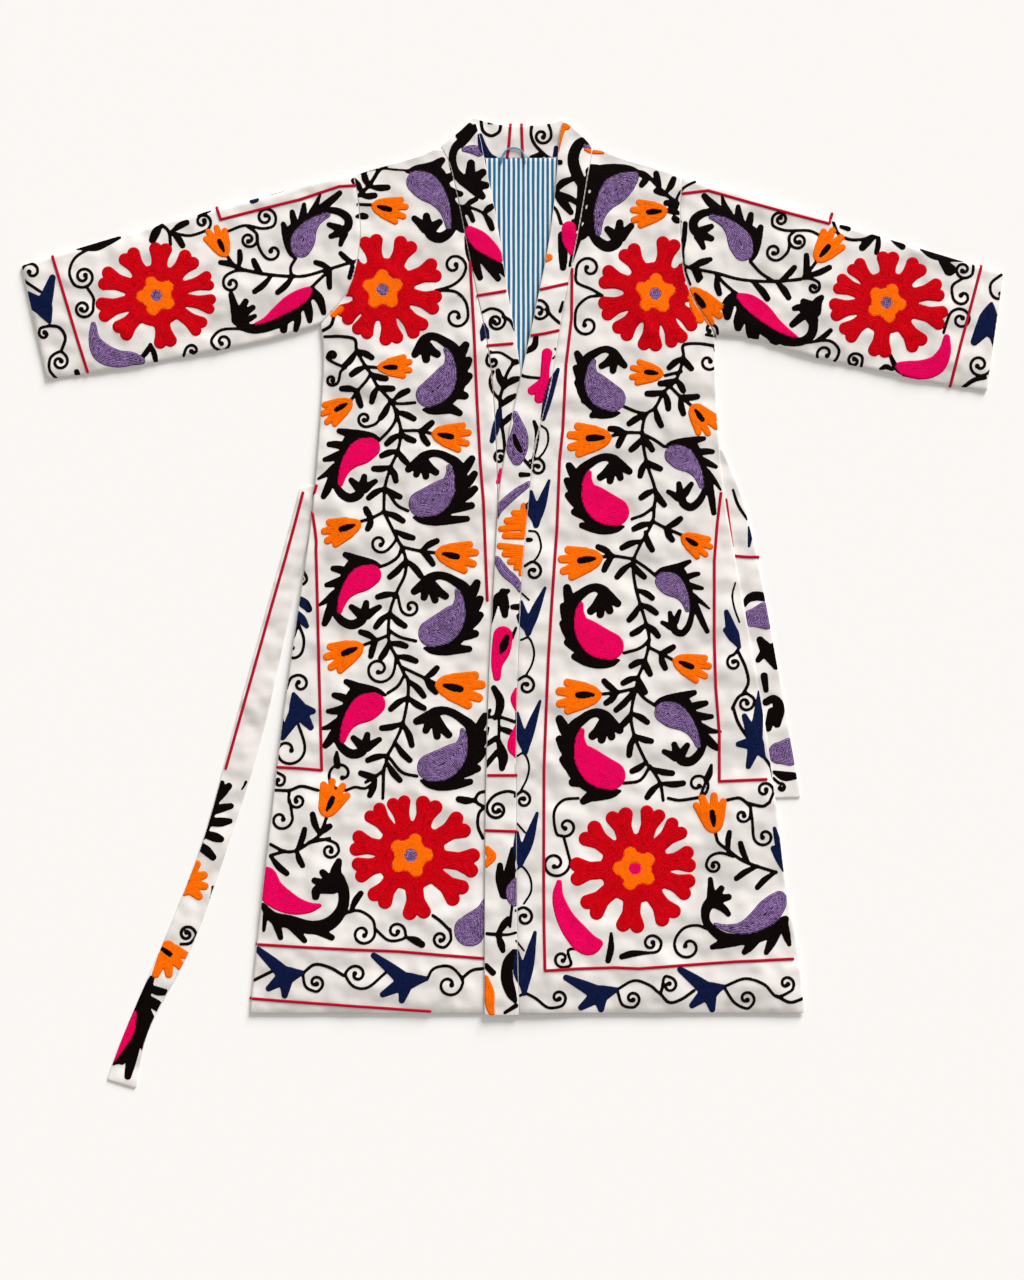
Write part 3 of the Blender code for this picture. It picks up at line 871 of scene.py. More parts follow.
@dataclass(frozen=True)
class EmbroideryFinish:
    """Thick thread in chain stitch, whose rows follow the edge of each shape. Its colour carries painted
    light on the raised rows and loops and painted shade between them.
    """

    name: str = "embroidery_thread"
    row: float = 2.1
    stitch: float = 2.4 * MM
    depth: float = 0.16
    wander_size: float = 6 * MM
    fibre_size: float = 0.7 * MM
    patch_size: float = 9 * MM
    roughness: float = 0.62

    # How much each pattern lightens or darkens the thread: the ridge and twist shares paint light and shade
    # on the stitches, the fibre and patch shares give the thread's own uneven tone.
    WANDER = 1.4
    RIDGE_LIGHT = 0.5
    TWIST_LIGHT = 1.1
    FIBRE_LIGHT = 0.3
    PATCH_LIGHT = 0.3
    MEAN_LIGHT = 1.1
    CONTRAST = 6.0
    TWIST_HEIGHT = 1.6
    FIBRE_HEIGHT = 0.05

    def build(self) -> bpy.types.Material:
        """Builds the thread's material from the mesh's own attributes."""
        recipe = Recipe(self.name)
        colour = recipe.node("ShaderNodeAttribute", {"attribute_name": "thread"}, output="Color")
        edge = recipe.node("ShaderNodeAttribute", {"attribute_name": "edge"}, output="Fac")
        grain = recipe.node("ShaderNodeAttribute", {"attribute_name": "grain"}, output="Fac")
        wander = recipe.noise(self.wander_size, 1.0) * self.WANDER
        ridge = ((edge + wander) * (2 * math.pi / self.row)).sine() * 0.5 + 0.5
        twist = recipe.noise(self.stitch, 2.0, 0.6)
        fibre = recipe.noise(self.fibre_size, 1.0, 0.5)
        patch = recipe.noise(self.patch_size, 2.0)
        # Lighter on the crests of the stitch rows and on the raised loops and darker in the grooves between
        # them, as in the bump: painted light and shade on the stitches. The fibre and patch noise add the
        # thread's own uneven tone.
        light = (ridge * self.RIDGE_LIGHT + twist * self.TWIST_LIGHT + fibre * self.FIBRE_LIGHT
                 + patch * self.PATCH_LIGHT - self.MEAN_LIGHT)
        gain = light * grain * self.CONTRAST + 1.0
        shown = recipe.node("ShaderNodeVectorMath", {"operation": "SCALE"}, {0: colour, "Scale": gain})
        height = (ridge * self.depth + twist * (self.depth * self.TWIST_HEIGHT)
                  + fibre * self.FIBRE_HEIGHT)
        return recipe.finish(shown, self.roughness, recipe.bump(height), {"Specular IOR Level": 0.03})


@dataclass(frozen=True)
class LineFinish:
    """Twisted sewing thread of one colour."""

    name: str
    colour: Colour
    roughness: float = 0.6
    fibre_size: float = 0.8 * MM

    SHADE = 0.8
    FIBRE_TINT = 1.4
    FIBRE_HEIGHT = 0.12

    def build(self) -> bpy.types.Material:
        """Builds the thread's material."""
        recipe = Recipe(self.name)
        fibre = recipe.noise(self.fibre_size, 2.0)
        shade = tuple(channel * self.SHADE for channel in self.colour[:3]) + (1.0,)
        tint = recipe.blend(fibre * self.FIBRE_TINT - 0.2, shade, self.colour)
        normal = recipe.bump(fibre * self.FIBRE_HEIGHT)
        return recipe.finish(tint, self.roughness, normal, {"Specular IOR Level": 0.08})


@dataclass(frozen=True)
class LiningFinish:
    """Thin white cotton with narrow blue stripes along the coat."""

    name: str = "striped_lining_cloth"
    pale: Colour = linear(232, 238, 238)
    blue: Colour = linear(24, 114, 158)
    deep: Colour = linear(8, 78, 120)
    pitch: float = 6.55 * MM
    yarn: float = 0.7 * MM
    waver: float = 0.0016
    white_share: float = 0.215
    edge_hardness: float = 14.0
    waver_size: float = 0.02
    streak_size: float = 0.9 * MM
    swell_size: float = 0.016

    STREAK_TINT = 1.3
    WEAVE_HEIGHT = 0.03
    SWELL_HEIGHT = 0.4

    def build(self) -> bpy.types.Material:
        """Builds the lining's material."""
        recipe = Recipe(self.name)
        waver = (recipe.noise(self.waver_size, 2.0, 0.5, (1.0, 4.0)) - 0.5) * self.waver
        across = (recipe.axis("X") + waver) / self.pitch
        wave = ((across - 0.25).fraction() - 0.5).absolute()
        stripe = (wave - self.white_share) * self.edge_hardness + 0.5
        stripe = stripe.combine("MINIMUM", 1.0).combine("MAXIMUM", 0.0)
        turns = 2 * math.pi / self.yarn
        weave = (recipe.axis("Y") * turns).sine() * (recipe.axis("X") * turns).sine()
        streak = recipe.noise(self.streak_size, 2.0, 0.6, (1.0, 9.0))
        ink = recipe.blend(streak * self.STREAK_TINT - 0.1, self.deep, self.blue)
        tint = recipe.blend(stripe, self.pale, ink)
        height = weave * self.WEAVE_HEIGHT + recipe.noise(self.swell_size, 2.0) * self.SWELL_HEIGHT
        return recipe.finish(tint, 0.8, recipe.bump(height), {"Specular IOR Level": 0.3, "Sheen Weight": 0.1})


@dataclass(frozen=True)
class FloorFinish:
    """A smooth pale studio floor."""

    name: str = "studio_floor"
    colour: Colour = (0.945, 0.935, 0.92, 1.0)
    cloud: Colour = (0.9, 0.89, 0.875, 1.0)
    cloud_size: float = 0.4
    cloud_share: float = 0.02

    def build(self) -> bpy.types.Material:
        """Builds the floor's material."""
        recipe = Recipe(self.name)
        tint = recipe.blend(recipe.noise(self.cloud_size, 2.0) * self.cloud_share, self.colour, self.cloud)
        return recipe.finish(tint, 0.9, None, {"Specular IOR Level": 0.1})


@dataclass(frozen=True)
class Crease:
    """A soft ridge in the cloth between two places of the chart."""

    start: Point
    end: Point
    half_width: float
    height: float


CREASES = tuple(Crease(*row) for row in (
    ((336, 330), (400, 352), 9, 1.3), ((330, 352), (372, 398), 8, 1.0), ((322, 470), (352, 540), 10, 1.2),
    ((318, 640), (350, 742), 11, 1.4), ((300, 720), (318, 900), 13, 1.6), ((440, 520), (470, 640), 9, 0.9),
    ((345, 620), (352, 700), 9, 1.0), ((420, 700), (436, 800), 10, 1.1), ((272, 820), (262, 940), 11, 1.2),
    ((360, 905), (352, 985), 12, 1.2), ((430, 890), (455, 1000), 10, 1.0), ((450, 240), (468, 380), 8, 0.9),
    ((595, 230), (578, 360), 8, 0.9), ((703, 345), (640, 372), 9, 1.2), ((712, 372), (676, 420), 8, 1.1),
    ((716, 480), (690, 560), 10, 1.2), ((724, 650), (706, 770), 11, 1.4), ((752, 700), (782, 880), 13, 1.6),
    ((600, 520), (580, 640), 9, 0.9), ((690, 640), (700, 712), 9, 0.9), ((560, 700), (566, 800), 9, 1.0),
    ((742, 880), (760, 985), 11, 1.2), ((640, 930), (628, 1000), 12, 1.1),
    ((560, 880), (552, 990), 10, 1.0), ((250, 300), (350, 268), 9, 1.2), ((180, 350), (330, 318), 10, 1.4),
    ((70, 300), (160, 352), 9, 1.2), ((60, 262), (150, 238), 8, 0.9), ((200, 214), (300, 196), 8, 0.9),
    ((340, 226), (362, 330), 8, 1.2), ((790, 306), (690, 262), 9, 1.2), ((850, 350), (712, 316), 10, 1.4),
    ((960, 300), (880, 352), 9, 1.2), ((970, 272), (880, 244), 8, 0.9), ((820, 222), (720, 196), 8, 0.9),
    ((694, 226), (676, 330), 8, 1.2),
))


PUCKER_SEED = 11
PUCKER_COUNT = 420
PUCKER_COLUMNS = (30.0, 1000.0)
PUCKER_ROWS = (170.0, 1010.0)
PUCKER_LENGTH = (14.0, 44.0)
PUCKER_WIDE = (4.5, 8.5)
PUCKER_HEIGHT = (0.35, 0.95)
# How far the cloth lies above its solid, in millimetres, and the waves round that: two periods in metres,
# a phase and a height in millimetres.
REST_LIFT = 0.55
WAVES = ((0.31, 0.42, 0.4, 0.22), (-0.17, 0.29, 1.9, 0.16), (0.083, 0.121, 2.7, 0.10),
         (0.059, -0.094, 0.9, 0.07))
CREASE_END = 0.35
CREASE_FALL = 1.6


def small_creases() -> tuple[Crease, ...]:
    """Scatters short soft puckers between the main creases, the same ones each time."""
    hand = random.Random(PUCKER_SEED)
    found = []
    for _ in range(PUCKER_COUNT):
        column = hand.uniform(*PUCKER_COLUMNS)
        row = hand.uniform(*PUCKER_ROWS)
        end = polar((column, row), hand.uniform(0.0, 180.0), hand.uniform(*PUCKER_LENGTH))
        found.append(Crease((column, row), end, hand.uniform(*PUCKER_WIDE), hand.uniform(*PUCKER_HEIGHT)))
    return tuple(found)


def drape(x: np.ndarray, y: np.ndarray) -> np.ndarray:
    """Gives how far the cloth lifts at places on the plan.

    Args:
        x: X in metres.
        y: Y in metres.

    Returns:
        The lift in metres, never below 0.
    """
    lift = np.full(x.shape, REST_LIFT)
    for period_x, period_y, phase, height in WAVES:
        lift = lift + height * np.sin(2 * math.pi * (x / period_x + y / period_y) + phase)
    for crease in CREASES + small_creases():
        start = np.array(plan(*crease.start))
        end = np.array(plan(*crease.end))
        along = end - start
        share = ((x - start[0]) * along[0] + (y - start[1]) * along[1]) / float(along @ along)
        clipped = np.clip(share, 0.0, 1.0)
        gap = np.hypot(x - start[0] - clipped * along[0], y - start[1] - clipped * along[1])
        reach = crease.half_width * CHART_STEP
        fade = CREASE_END + (1.0 - CREASE_END) * np.sin(math.pi * clipped)
        lift = lift + crease.height * fade * np.exp(-(gap / reach) ** 2 * CREASE_FALL)
    return np.maximum(lift, 0.0) * MM


class Drape(Enum):
    """How a shell takes the creases."""

    WHOLE = "the whole wall lifts"
    UPPER = "only the upper layer of a flat tube lifts"
    STILL = "it lies still"


@dataclass
class ClothPiece:
    """One cut piece of the coat: its shell, its thread work and its border lines."""

    node: str
    slot: str
    material: bpy.types.Material
    motifs: tuple = ()
    lines: tuple[tuple[Point, ...], ...] = ()
    covered_by: tuple[str, ...] = ()
    drape: Drape = Drape.WHOLE
    levels: int = 2
    rests_on: tuple[str, ...] = ("floor",)
    strip: bool = False
    seam_inset: float = 0.12

    JOIN_ANGLE = 25
    HOLD_ANGLE = 42
    SHARP_ANGLE = 50
    TUBE_MIDDLE = 1.9
    TUBE_FADE = 1.6
    EDGE_ROOM = 2
    COVER_GAP = 0.35
    UNDERLAP = 0.6
    MERGE = 0.22 * MM

    def build_shell(self) -> bpy.types.Object:
        """Builds the cloth from a merged copy of the node's mesh.

        Returns:
            The shell's object.
        """
        shell = finer_copy(self.node, self.node + "_cloth", self.JOIN_ANGLE, self.levels, self.HOLD_ANGLE)
        self.lift(shell.data)
        shell.data.shade_smooth()
        shell.data.set_sharp_from_angle(angle=math.radians(self.SHARP_ANGLE))
        shell.data.materials.clear()
        shell.data.materials.append(self.material)
        self.shell = shell
        self.tree = BVHTree.FromPolygons([vertex.co for vertex in shell.data.vertices],
                                         [polygon.vertices for polygon in shell.data.polygons])
        return shell

    def lift(self, mesh: bpy.types.Mesh) -> None:
        """Lifts a shell's points by the creases."""
        if self.drape is Drape.STILL:
            return
        places = np.empty(len(mesh.vertices) * 3)
        mesh.vertices.foreach_get("co", places)
        places = places.reshape(-1, 3)
        share = 1.0
        if self.drape is Drape.UPPER:
            share = np.clip((places[:, 2] / MM - self.TUBE_MIDDLE) / self.TUBE_FADE, 0.0, 1.0)
        places[:, 2] += drape(places[:, 0], places[:, 1]) * share
        mesh.vertices.foreach_set("co", places.ravel())
        mesh.update()

    def height_at(self, x: float, y: float, fallback: float = 0.0) -> float:
        """Gives the height of the cloth's top at a place."""
        hit = self.tree.ray_cast(Vector((x, y, RAY_TOP)), Vector((0, 0, -1)))
        return hit[0].z if hit[0] is not None else fallback

    def embroider(self, thread_material: bpy.types.Material) -> bpy.types.Object | None:
        """Draws the motifs, cuts them at the seams and lays them on the shell.

        Args:
            thread_material: The finish of the thread.

        Returns:
            The thread work's object, or None where there is none.
        """
        if not self.motifs:
            return None
        edges = SHAPES[self.node]
        low = edges.reshape(-1, 2).min(axis=0) - self.EDGE_ROOM
        high = edges.reshape(-1, 2).max(axis=0) + self.EDGE_ROOM
        canvas = Canvas(low[0], low[1], high[0], high[1])
        for motif in self.motifs:
            motif.sew(canvas)
        limit = signed_distance(canvas, edges) + self.seam_inset
        for cover in self.covered_by:
            limit = np.maximum(limit, self.COVER_GAP - signed_distance(canvas, SHAPES[cover]))
        parts = []
        whole = np.maximum(np.minimum.reduce(list(canvas.fields.values())), limit)
        done = None
        for layer, thread in sorted(canvas.fields, key=lambda key: (-key[0].value, key[1].name)):
            shape = np.maximum(canvas.fields[(layer, thread)], limit)
            own = shape if done is None else np.maximum(shape, -self.UNDERLAP - done)
            corners, depth, faces = contour(canvas, own)
            rise = relief(canvas.sample(whole, corners), depth, layer)
            parts.append((thread, corners, depth, rise, faces))
            done = shape if done is None else np.minimum(done, shape)
        return self.lay_thread(parts, thread_material)

    def lay_thread(self, parts: list, thread_material: bpy.types.Material) -> bpy.types.Object | None:
        """Makes one raised mesh of all threads on this piece.

        Args:
            parts: Thread, and the places, depths, heights and triangles of its shapes.
            thread_material: The finish of the thread.

        Returns:
            The mesh's object.
        """
        offsets = np.cumsum([0] + [len(corners) for _, corners, _, _, _ in parts])
        chart = np.vstack([corners for _, corners, _, _, _ in parts])
        depth = np.concatenate([depths for _, _, depths, _, _ in parts]) * CHART_STEP / MM
        rise = np.concatenate([rises for _, _, _, rises, _ in parts])
        faces = np.vstack([part[4] + offset for part, offset in zip(parts, offsets)])
        colours = np.vstack([np.tile(thread.colour, (len(corners), 1)) for thread, corners, _, _, _ in parts])
        # How strongly each thread's grain and the painted light and shade on its stitches show.
        painted_light_and_grain_values = np.concatenate([np.full(len(corners), thread.grain) for thread, corners, _, _, _ in parts])
        x = (chart[:, 0] - CHART_CENTRE_COLUMN) * CHART_STEP
        y = (CHART_CENTRE_ROW - chart[:, 1]) * CHART_STEP
        z = np.array([self.height_at(*place) for place in zip(x, y)]) + rise
        mesh = bpy.data.meshes.new(self.node + "_embroidery")
        mesh.from_pydata(np.column_stack([x, y, z]).tolist(), [], faces.tolist())
        for name, kind, values in (("thread", "FLOAT_COLOR", colours), ("edge", "FLOAT", depth),
                                   ("grain", "FLOAT", painted_light_and_grain_values)):
            attribute = mesh.attributes.new(name, kind, "POINT")
            attribute.data.foreach_set("color" if kind == "FLOAT_COLOR" else "value", values.ravel())
        tidy_mesh(mesh, self.MERGE)
        mesh.shade_smooth()
        mesh.materials.append(thread_material)
        thread_work = bpy.data.objects.new(self.node + "_embroidery", mesh)
        bpy.context.collection.objects.link(thread_work)
        return thread_work


RELIEF = 0.9 * MM
RELIEF_EDGE = 1.8 * MM
SUNK = 0.15 * MM
LAYER_STEP = 0.14 * MM
GROOVE = 0.12 * MM
GROOVE_WIDTH = 0.9 * MM


def relief(whole: np.ndarray, own: np.ndarray, layer: Layer) -> np.ndarray:
    """Gives how far thread stands above the cloth.

    Args:
        whole: How deep each place lies inside the thread work of all colours, in chart steps.
        own: How deep it lies inside its own colour's shape.
        layer: The shape's layer.

    Returns:
        Metres above the cloth.
    """
    share = 1.0 - np.clip(whole * CHART_STEP / RELIEF_EDGE, 0.0, 1.0)
    rise = RELIEF * np.sqrt(1.0 - share * share) - SUNK
    groove = GROOVE * np.exp(-own * CHART_STEP / GROOVE_WIDTH)
    return rise + LAYER_STEP * layer.value - groove


JOIN_SHAPE = 80
HOLD = 0.75


def finer_copy(node: str, name: str, join_angle: float, levels: int, hold_angle: float | None = None
               ) -> bpy.types.Object:
    """Makes a merged and smoothly divided copy of a node's mesh.

    Args:
        node: The node's name.
        name: The copy's name.
        join_angle: Triangles that meet at up to this many degrees are joined.
        levels: How many times each face is divided.
        hold_angle: Edges that turn by more than this many degrees are kept from rounding.

    Returns:
        The copy's object.
    """
    rough = bmesh.new()
    rough.from_mesh(bpy.data.objects[node].data)
    bmesh.ops.remove_doubles(rough, verts=rough.verts, dist=WELD)
    bmesh.ops.join_triangles(rough, faces=rough.faces, angle_face_threshold=math.radians(join_angle),
                             angle_shape_threshold=math.radians(JOIN_SHAPE))
    if hold_angle is not None:
        crease = rough.edges.layers.float.new("crease_edge")
        for edge in rough.edges:
            if len(edge.link_faces) == 2 and edge.calc_face_angle(0.0) > math.radians(hold_angle):
                edge[crease] = HOLD
    mesh = bpy.data.meshes.new(name)
    rough.to_mesh(mesh)
    rough.free()
    made = bpy.data.objects.new(name, mesh)
    bpy.context.collection.objects.link(made)
    finer = made.modifiers.new("finer", "SUBSURF")
    finer.levels = levels
    finer.render_levels = levels
    apply_modifiers(made)
    return made


def apply_modifiers(piece: bpy.types.Object) -> None:
    """Turns a piece with its modifiers into a plain mesh."""
    shaped = piece.evaluated_get(bpy.context.evaluated_depsgraph_get())
    mesh = bpy.data.meshes.new_from_object(shaped)
    piece.modifiers.clear()
    piece.data = mesh


def tidy_mesh(mesh: bpy.types.Mesh, distance: float) -> None:
    """Merges points that nearly meet and drops what has no area."""
    work = bmesh.new()
    work.from_mesh(mesh)
    bmesh.ops.remove_doubles(work, verts=work.verts, dist=distance)
    loose = [vertex for vertex in work.verts if not vertex.link_faces]
    bmesh.ops.delete(work, geom=loose, context="VERTS")
    work.to_mesh(mesh)
    work.free()


FACES_UP = 0.25
CLEARANCE = 0.0001


def seen_edges(name: str) -> np.ndarray:
    """Finds the edge of a node as seen from above.

    Args:
        name: The node's name.

    Returns:
        The chart places of both ends of each edge, one row for each edge.
    """
    work = bmesh.new()
    work.from_mesh(bpy.data.objects[name].data)
    bmesh.ops.remove_doubles(work, verts=work.verts, dist=WELD)
    work.normal_update()
    tree = BVHTree.FromBMesh(work)
    up = Vector((0, 0, 1))
    top = set()
    for face in work.faces:
        above = face.calc_center_median() + up * CLEARANCE
        if face.normal.z > FACES_UP and tree.ray_cast(above, up)[0] is None:
            top.add(face.index)
    rows = []
    for edge in work.edges:
        if sum(face.index in top for face in edge.link_faces) == 1:
            rows.append([(corner.co.x / CHART_STEP + CHART_CENTRE_COLUMN,
                          CHART_CENTRE_ROW - corner.co.y / CHART_STEP) for corner in edge.verts])
    work.free()
    return np.array(rows)


def signed_distance(canvas: Canvas, edges: np.ndarray) -> np.ndarray:
    """Measures how far each chart node lies from an outline.

    Args:
        canvas: The chart.
        edges: The outline's edges in any order.

    Returns:
        The distances, negative inside the outline.
    """
    columns = canvas.columns[None, :]
    rows = canvas.rows[:, None]
    nearest = np.full((canvas.rows.size, canvas.columns.size), FAR)
    inside = np.zeros(nearest.shape, dtype=bool)
    for (start_column, start_row), (end_column, end_row) in edges:
        along = (end_column - start_column, end_row - start_row)
        length = max(along[0] ** 2 + along[1] ** 2, TINY)
        share = ((columns - start_column) * along[0] + (rows - start_row) * along[1]) / length
        share = np.clip(share, 0.0, 1.0)
        gap = np.hypot(columns - start_column - share * along[0], rows - start_row - share * along[1])
        nearest = np.minimum(nearest, gap)
        if start_row != end_row:
            crosses = (rows >= min(start_row, end_row)) & (rows < max(start_row, end_row))
            where = start_column + (rows - start_row) * along[0] / (end_row - start_row)
            inside ^= crosses & (columns < where)
    return np.where(inside, -nearest, nearest)


def contour(canvas: Canvas, shape: np.ndarray) -> tuple[np.ndarray, np.ndarray, np.ndarray]:
    """Cuts triangles along the zero line of a distance field.

    Args:
        canvas: The chart.
        shape: The distance at each chart node, negative inside.

    Returns:
        The chart places of the corners, their depths inside the edge, and the triangles.
    """
    inside = shape < 0.0
    rows, columns = np.meshgrid(canvas.rows, canvas.columns, indexing="ij")
    numbers = np.full(shape.shape, -1)
    numbers[inside] = np.arange(inside.sum())
    places = [np.column_stack([columns[inside], rows[inside]])]
    depths = [-shape[inside]]
    count = int(inside.sum())
    crossings = {}
    for name, start, end in (("across", np.s_[:, :-1], np.s_[:, 1:]), ("down", np.s_[:-1, :], np.s_[1:, :]),
                             ("slant", np.s_[:-1, :-1], np.s_[1:, 1:])):
        cut = inside[start] != inside[end]
        share = (shape[start][cut] / (shape[start][cut] - shape[end][cut]))[:, None]
        first = np.column_stack([columns[start][cut], rows[start][cut]])
        second = np.column_stack([columns[end][cut], rows[end][cut]])
        ids = np.full(cut.shape, -1)
        ids[cut] = count + np.arange(cut.sum())
        count += int(cut.sum())
        places.append(first + (second - first) * share)
        depths.append(np.zeros(int(cut.sum())))
        crossings[name] = ids
    corner = {"a": numbers[:-1, :-1], "b": numbers[:-1, 1:], "c": numbers[1:, 1:], "d": numbers[1:, :-1]}
    upper = (corner["a"], corner["b"], corner["c"], crossings["across"][:-1, :], crossings["down"][:, 1:],
             crossings["slant"])
    lower = (corner["a"], corner["c"], corner["d"], crossings["slant"], crossings["across"][1:, :],
             crossings["down"][:, :-1])
    found = [triangles for half in (upper, lower) for triangles in cut_triangles(*half)]
    return np.vstack(places), np.concatenate(depths), np.vstack(found)[:, ::-1]


def cut_triangles(first: np.ndarray, second: np.ndarray, third: np.ndarray, first_second: np.ndarray,
                  second_third: np.ndarray, third_first: np.ndarray) -> list[np.ndarray]:
    """Gives the triangles inside the zero line for half of each chart cell.

    Args:
        first: The number of each first corner, -1 outside.
        second: The number of each second corner.
        third: The number of each third corner.
        first_second: The number of the crossing between the first two corners.
        second_third: The number of the crossing between the last two corners.
        third_first: The number of the crossing between the third and first corner.

    Returns:
        Lists of triangles.
    """
    flags = (first >= 0) * 1 + (second >= 0) * 2 + (third >= 0) * 4
    cases = {
        7: ((first, second, third),),
        1: ((first, first_second, third_first),),
        2: ((second, second_third, first_second),),
        4: ((third, third_first, second_third),),
        3: ((first, second, second_third), (first, second_third, third_first)),
        6: ((second, third, third_first), (second, third_first, first_second)),
        5: ((third, first, first_second), (third, first_second, second_third)),
    }
    found = []
    for case, triangles in cases.items():
        chosen = flags == case
        for triangle in triangles:
            found.append(np.column_stack([corner[chosen] for corner in triangle]))
    return found


SHAPES = {name: seen_edges(name) for name in
          ("front_left", "front_right", "band_left", "band_right", "sleeve_left", "sleeve_right",
           "collar_back", "belt_left", "belt_right", "back", "lining_back")}


@dataclass(frozen=True)
class Stitch:
    """The sizes of one stitch and how far apart they lie."""

    name: str
    pitch: float
    half_length: float
    half_width: float
    half_height: float


CHAIN = Stitch("chain_stitches", 2.4 * MM, 2.4 * MM, 2.3 * MM, 0.9 * MM)
BEAD = {"Segments": 6, "Rings": 4, "Radius": 1.0}


class StitchTree:
    """A Geometry Nodes tree that lays stitches along the edges of a mesh."""

    def __init__(self) -> None:
        """Builds the tree with named inputs for the sizes."""
        tree = bpy.data.node_groups.new("stitches_on_paths", "GeometryNodeTree")
        self.tree = tree
        self.sockets = {}
        for name, kind in (("Geometry", "NodeSocketGeometry"), ("Pitch", "NodeSocketFloat"),
                           ("Stitch size", "NodeSocketVector"), ("Material", "NodeSocketMaterial")):
            item = tree.interface.new_socket(name, in_out="INPUT", socket_type=kind)
            self.sockets[name] = item.identifier
        tree.interface.new_socket("Geometry", in_out="OUTPUT", socket_type="NodeSocketGeometry")
        given = tree.nodes.new("NodeGroupInput")
        result = tree.nodes.new("NodeGroupOutput")
        curve = self.add("GeometryNodeMeshToCurve", {0: given.outputs["Geometry"]})
        points = tree.nodes.new("GeometryNodeCurveToPoints")
        points.mode = "LENGTH"
        tree.links.new(curve.outputs[0], points.inputs["Curve"])
        tree.links.new(given.outputs["Pitch"], points.inputs["Length"])
        bead = self.add("GeometryNodeMeshUVSphere", BEAD)
        smooth = self.add("GeometryNodeSetShadeSmooth", {0: bead.outputs[0]})
        aim = tree.nodes.new("FunctionNodeAlignRotationToVector")
        aim.axis = "X"
        aim.pivot_axis = "Z"
        tree.links.new(points.outputs["Tangent"], aim.inputs["Vector"])
        placed = self.add("GeometryNodeInstanceOnPoints", {
            "Points": points.outputs["Points"], "Instance": smooth.outputs[0], "Rotation": aim.outputs[0],
            "Scale": given.outputs["Stitch size"]})
        real = self.add("GeometryNodeRealizeInstances", {0: placed.outputs[0]})
        dressed = self.add("GeometryNodeSetMaterial", {"Geometry": real.outputs[0],
                                                       "Material": given.outputs["Material"]})
        tree.links.new(dressed.outputs[0], result.inputs[0])

    def add(self, kind: str, inputs: dict[object, object]) -> bpy.types.Node:
        """Adds a node and fills its inputs with links or values."""
        node = self.tree.nodes.new(kind)
        for key, value in inputs.items():
            if isinstance(value, bpy.types.NodeSocket):
                self.tree.links.new(value, node.inputs[key])
            else:
                node.inputs[key].default_value = value
        return node

    def sew(self, name: str, paths: list[list[Vector]], stitch: Stitch, material: bpy.types.Material
            ) -> bpy.types.Object:
        """Lays stitches along paths.

        Args:
            name: The name of the new piece.
            paths: Points in metres.
            stitch: The stitch's sizes.
            material: The thread's material.

        Returns:
            The piece, as a plain mesh.
        """
        points = [point for path in paths for point in path]
        edges = []
        start = 0
        for path in paths:
            edges += [(start + index, start + index + 1) for index in range(len(path) - 1)]
            start += len(path)
        mesh = bpy.data.meshes.new(name)
        mesh.from_pydata(points, edges, [])
        piece = bpy.data.objects.new(name, mesh)
        bpy.context.collection.objects.link(piece)
        modifier = piece.modifiers.new("stitches", "NODES")
        modifier.node_group = self.tree
        modifier[self.sockets["Pitch"]] = stitch.pitch
        modifier[self.sockets["Stitch size"]] = (stitch.half_length, stitch.half_width, stitch.half_height)
        modifier[self.sockets["Material"]] = material
        apply_modifiers(piece)
        return piece


FOLLOW_STEP = 2.2


def follow(piece: ClothPiece, line: tuple[Point, ...], rise: float) -> list[Vector]:
    """Lays a chart line on a cloth piece.

    Args:
        piece: The cloth piece.
        line: Chart places.
        rise: How far it lies above the cloth, in metres.

    Returns:
        Points in metres, about 3 mm apart.
    """
    path = []
    for start, end in zip(line[:-1], line[1:]):
        count = max(1, round(math.dist(start, end) / FOLLOW_STEP))
        for index in range(count):
            share = index / count
            path.append((start[0] + share * (end[0] - start[0]), start[1] + share * (end[1] - start[1])))
    path.append(line[-1])
    found = []
    for place in path:
        x, y = plan(*place)
        found.append(Vector((x, y, piece.height_at(x, y) + rise)))
    return found


# The motifs of each cloth piece. Places are chart columns and rows.
P = Thread.PURPLE
K = Thread.PINK
B = Thread.BLACK
N = Thread.NAVY
O = Thread.ORANGE

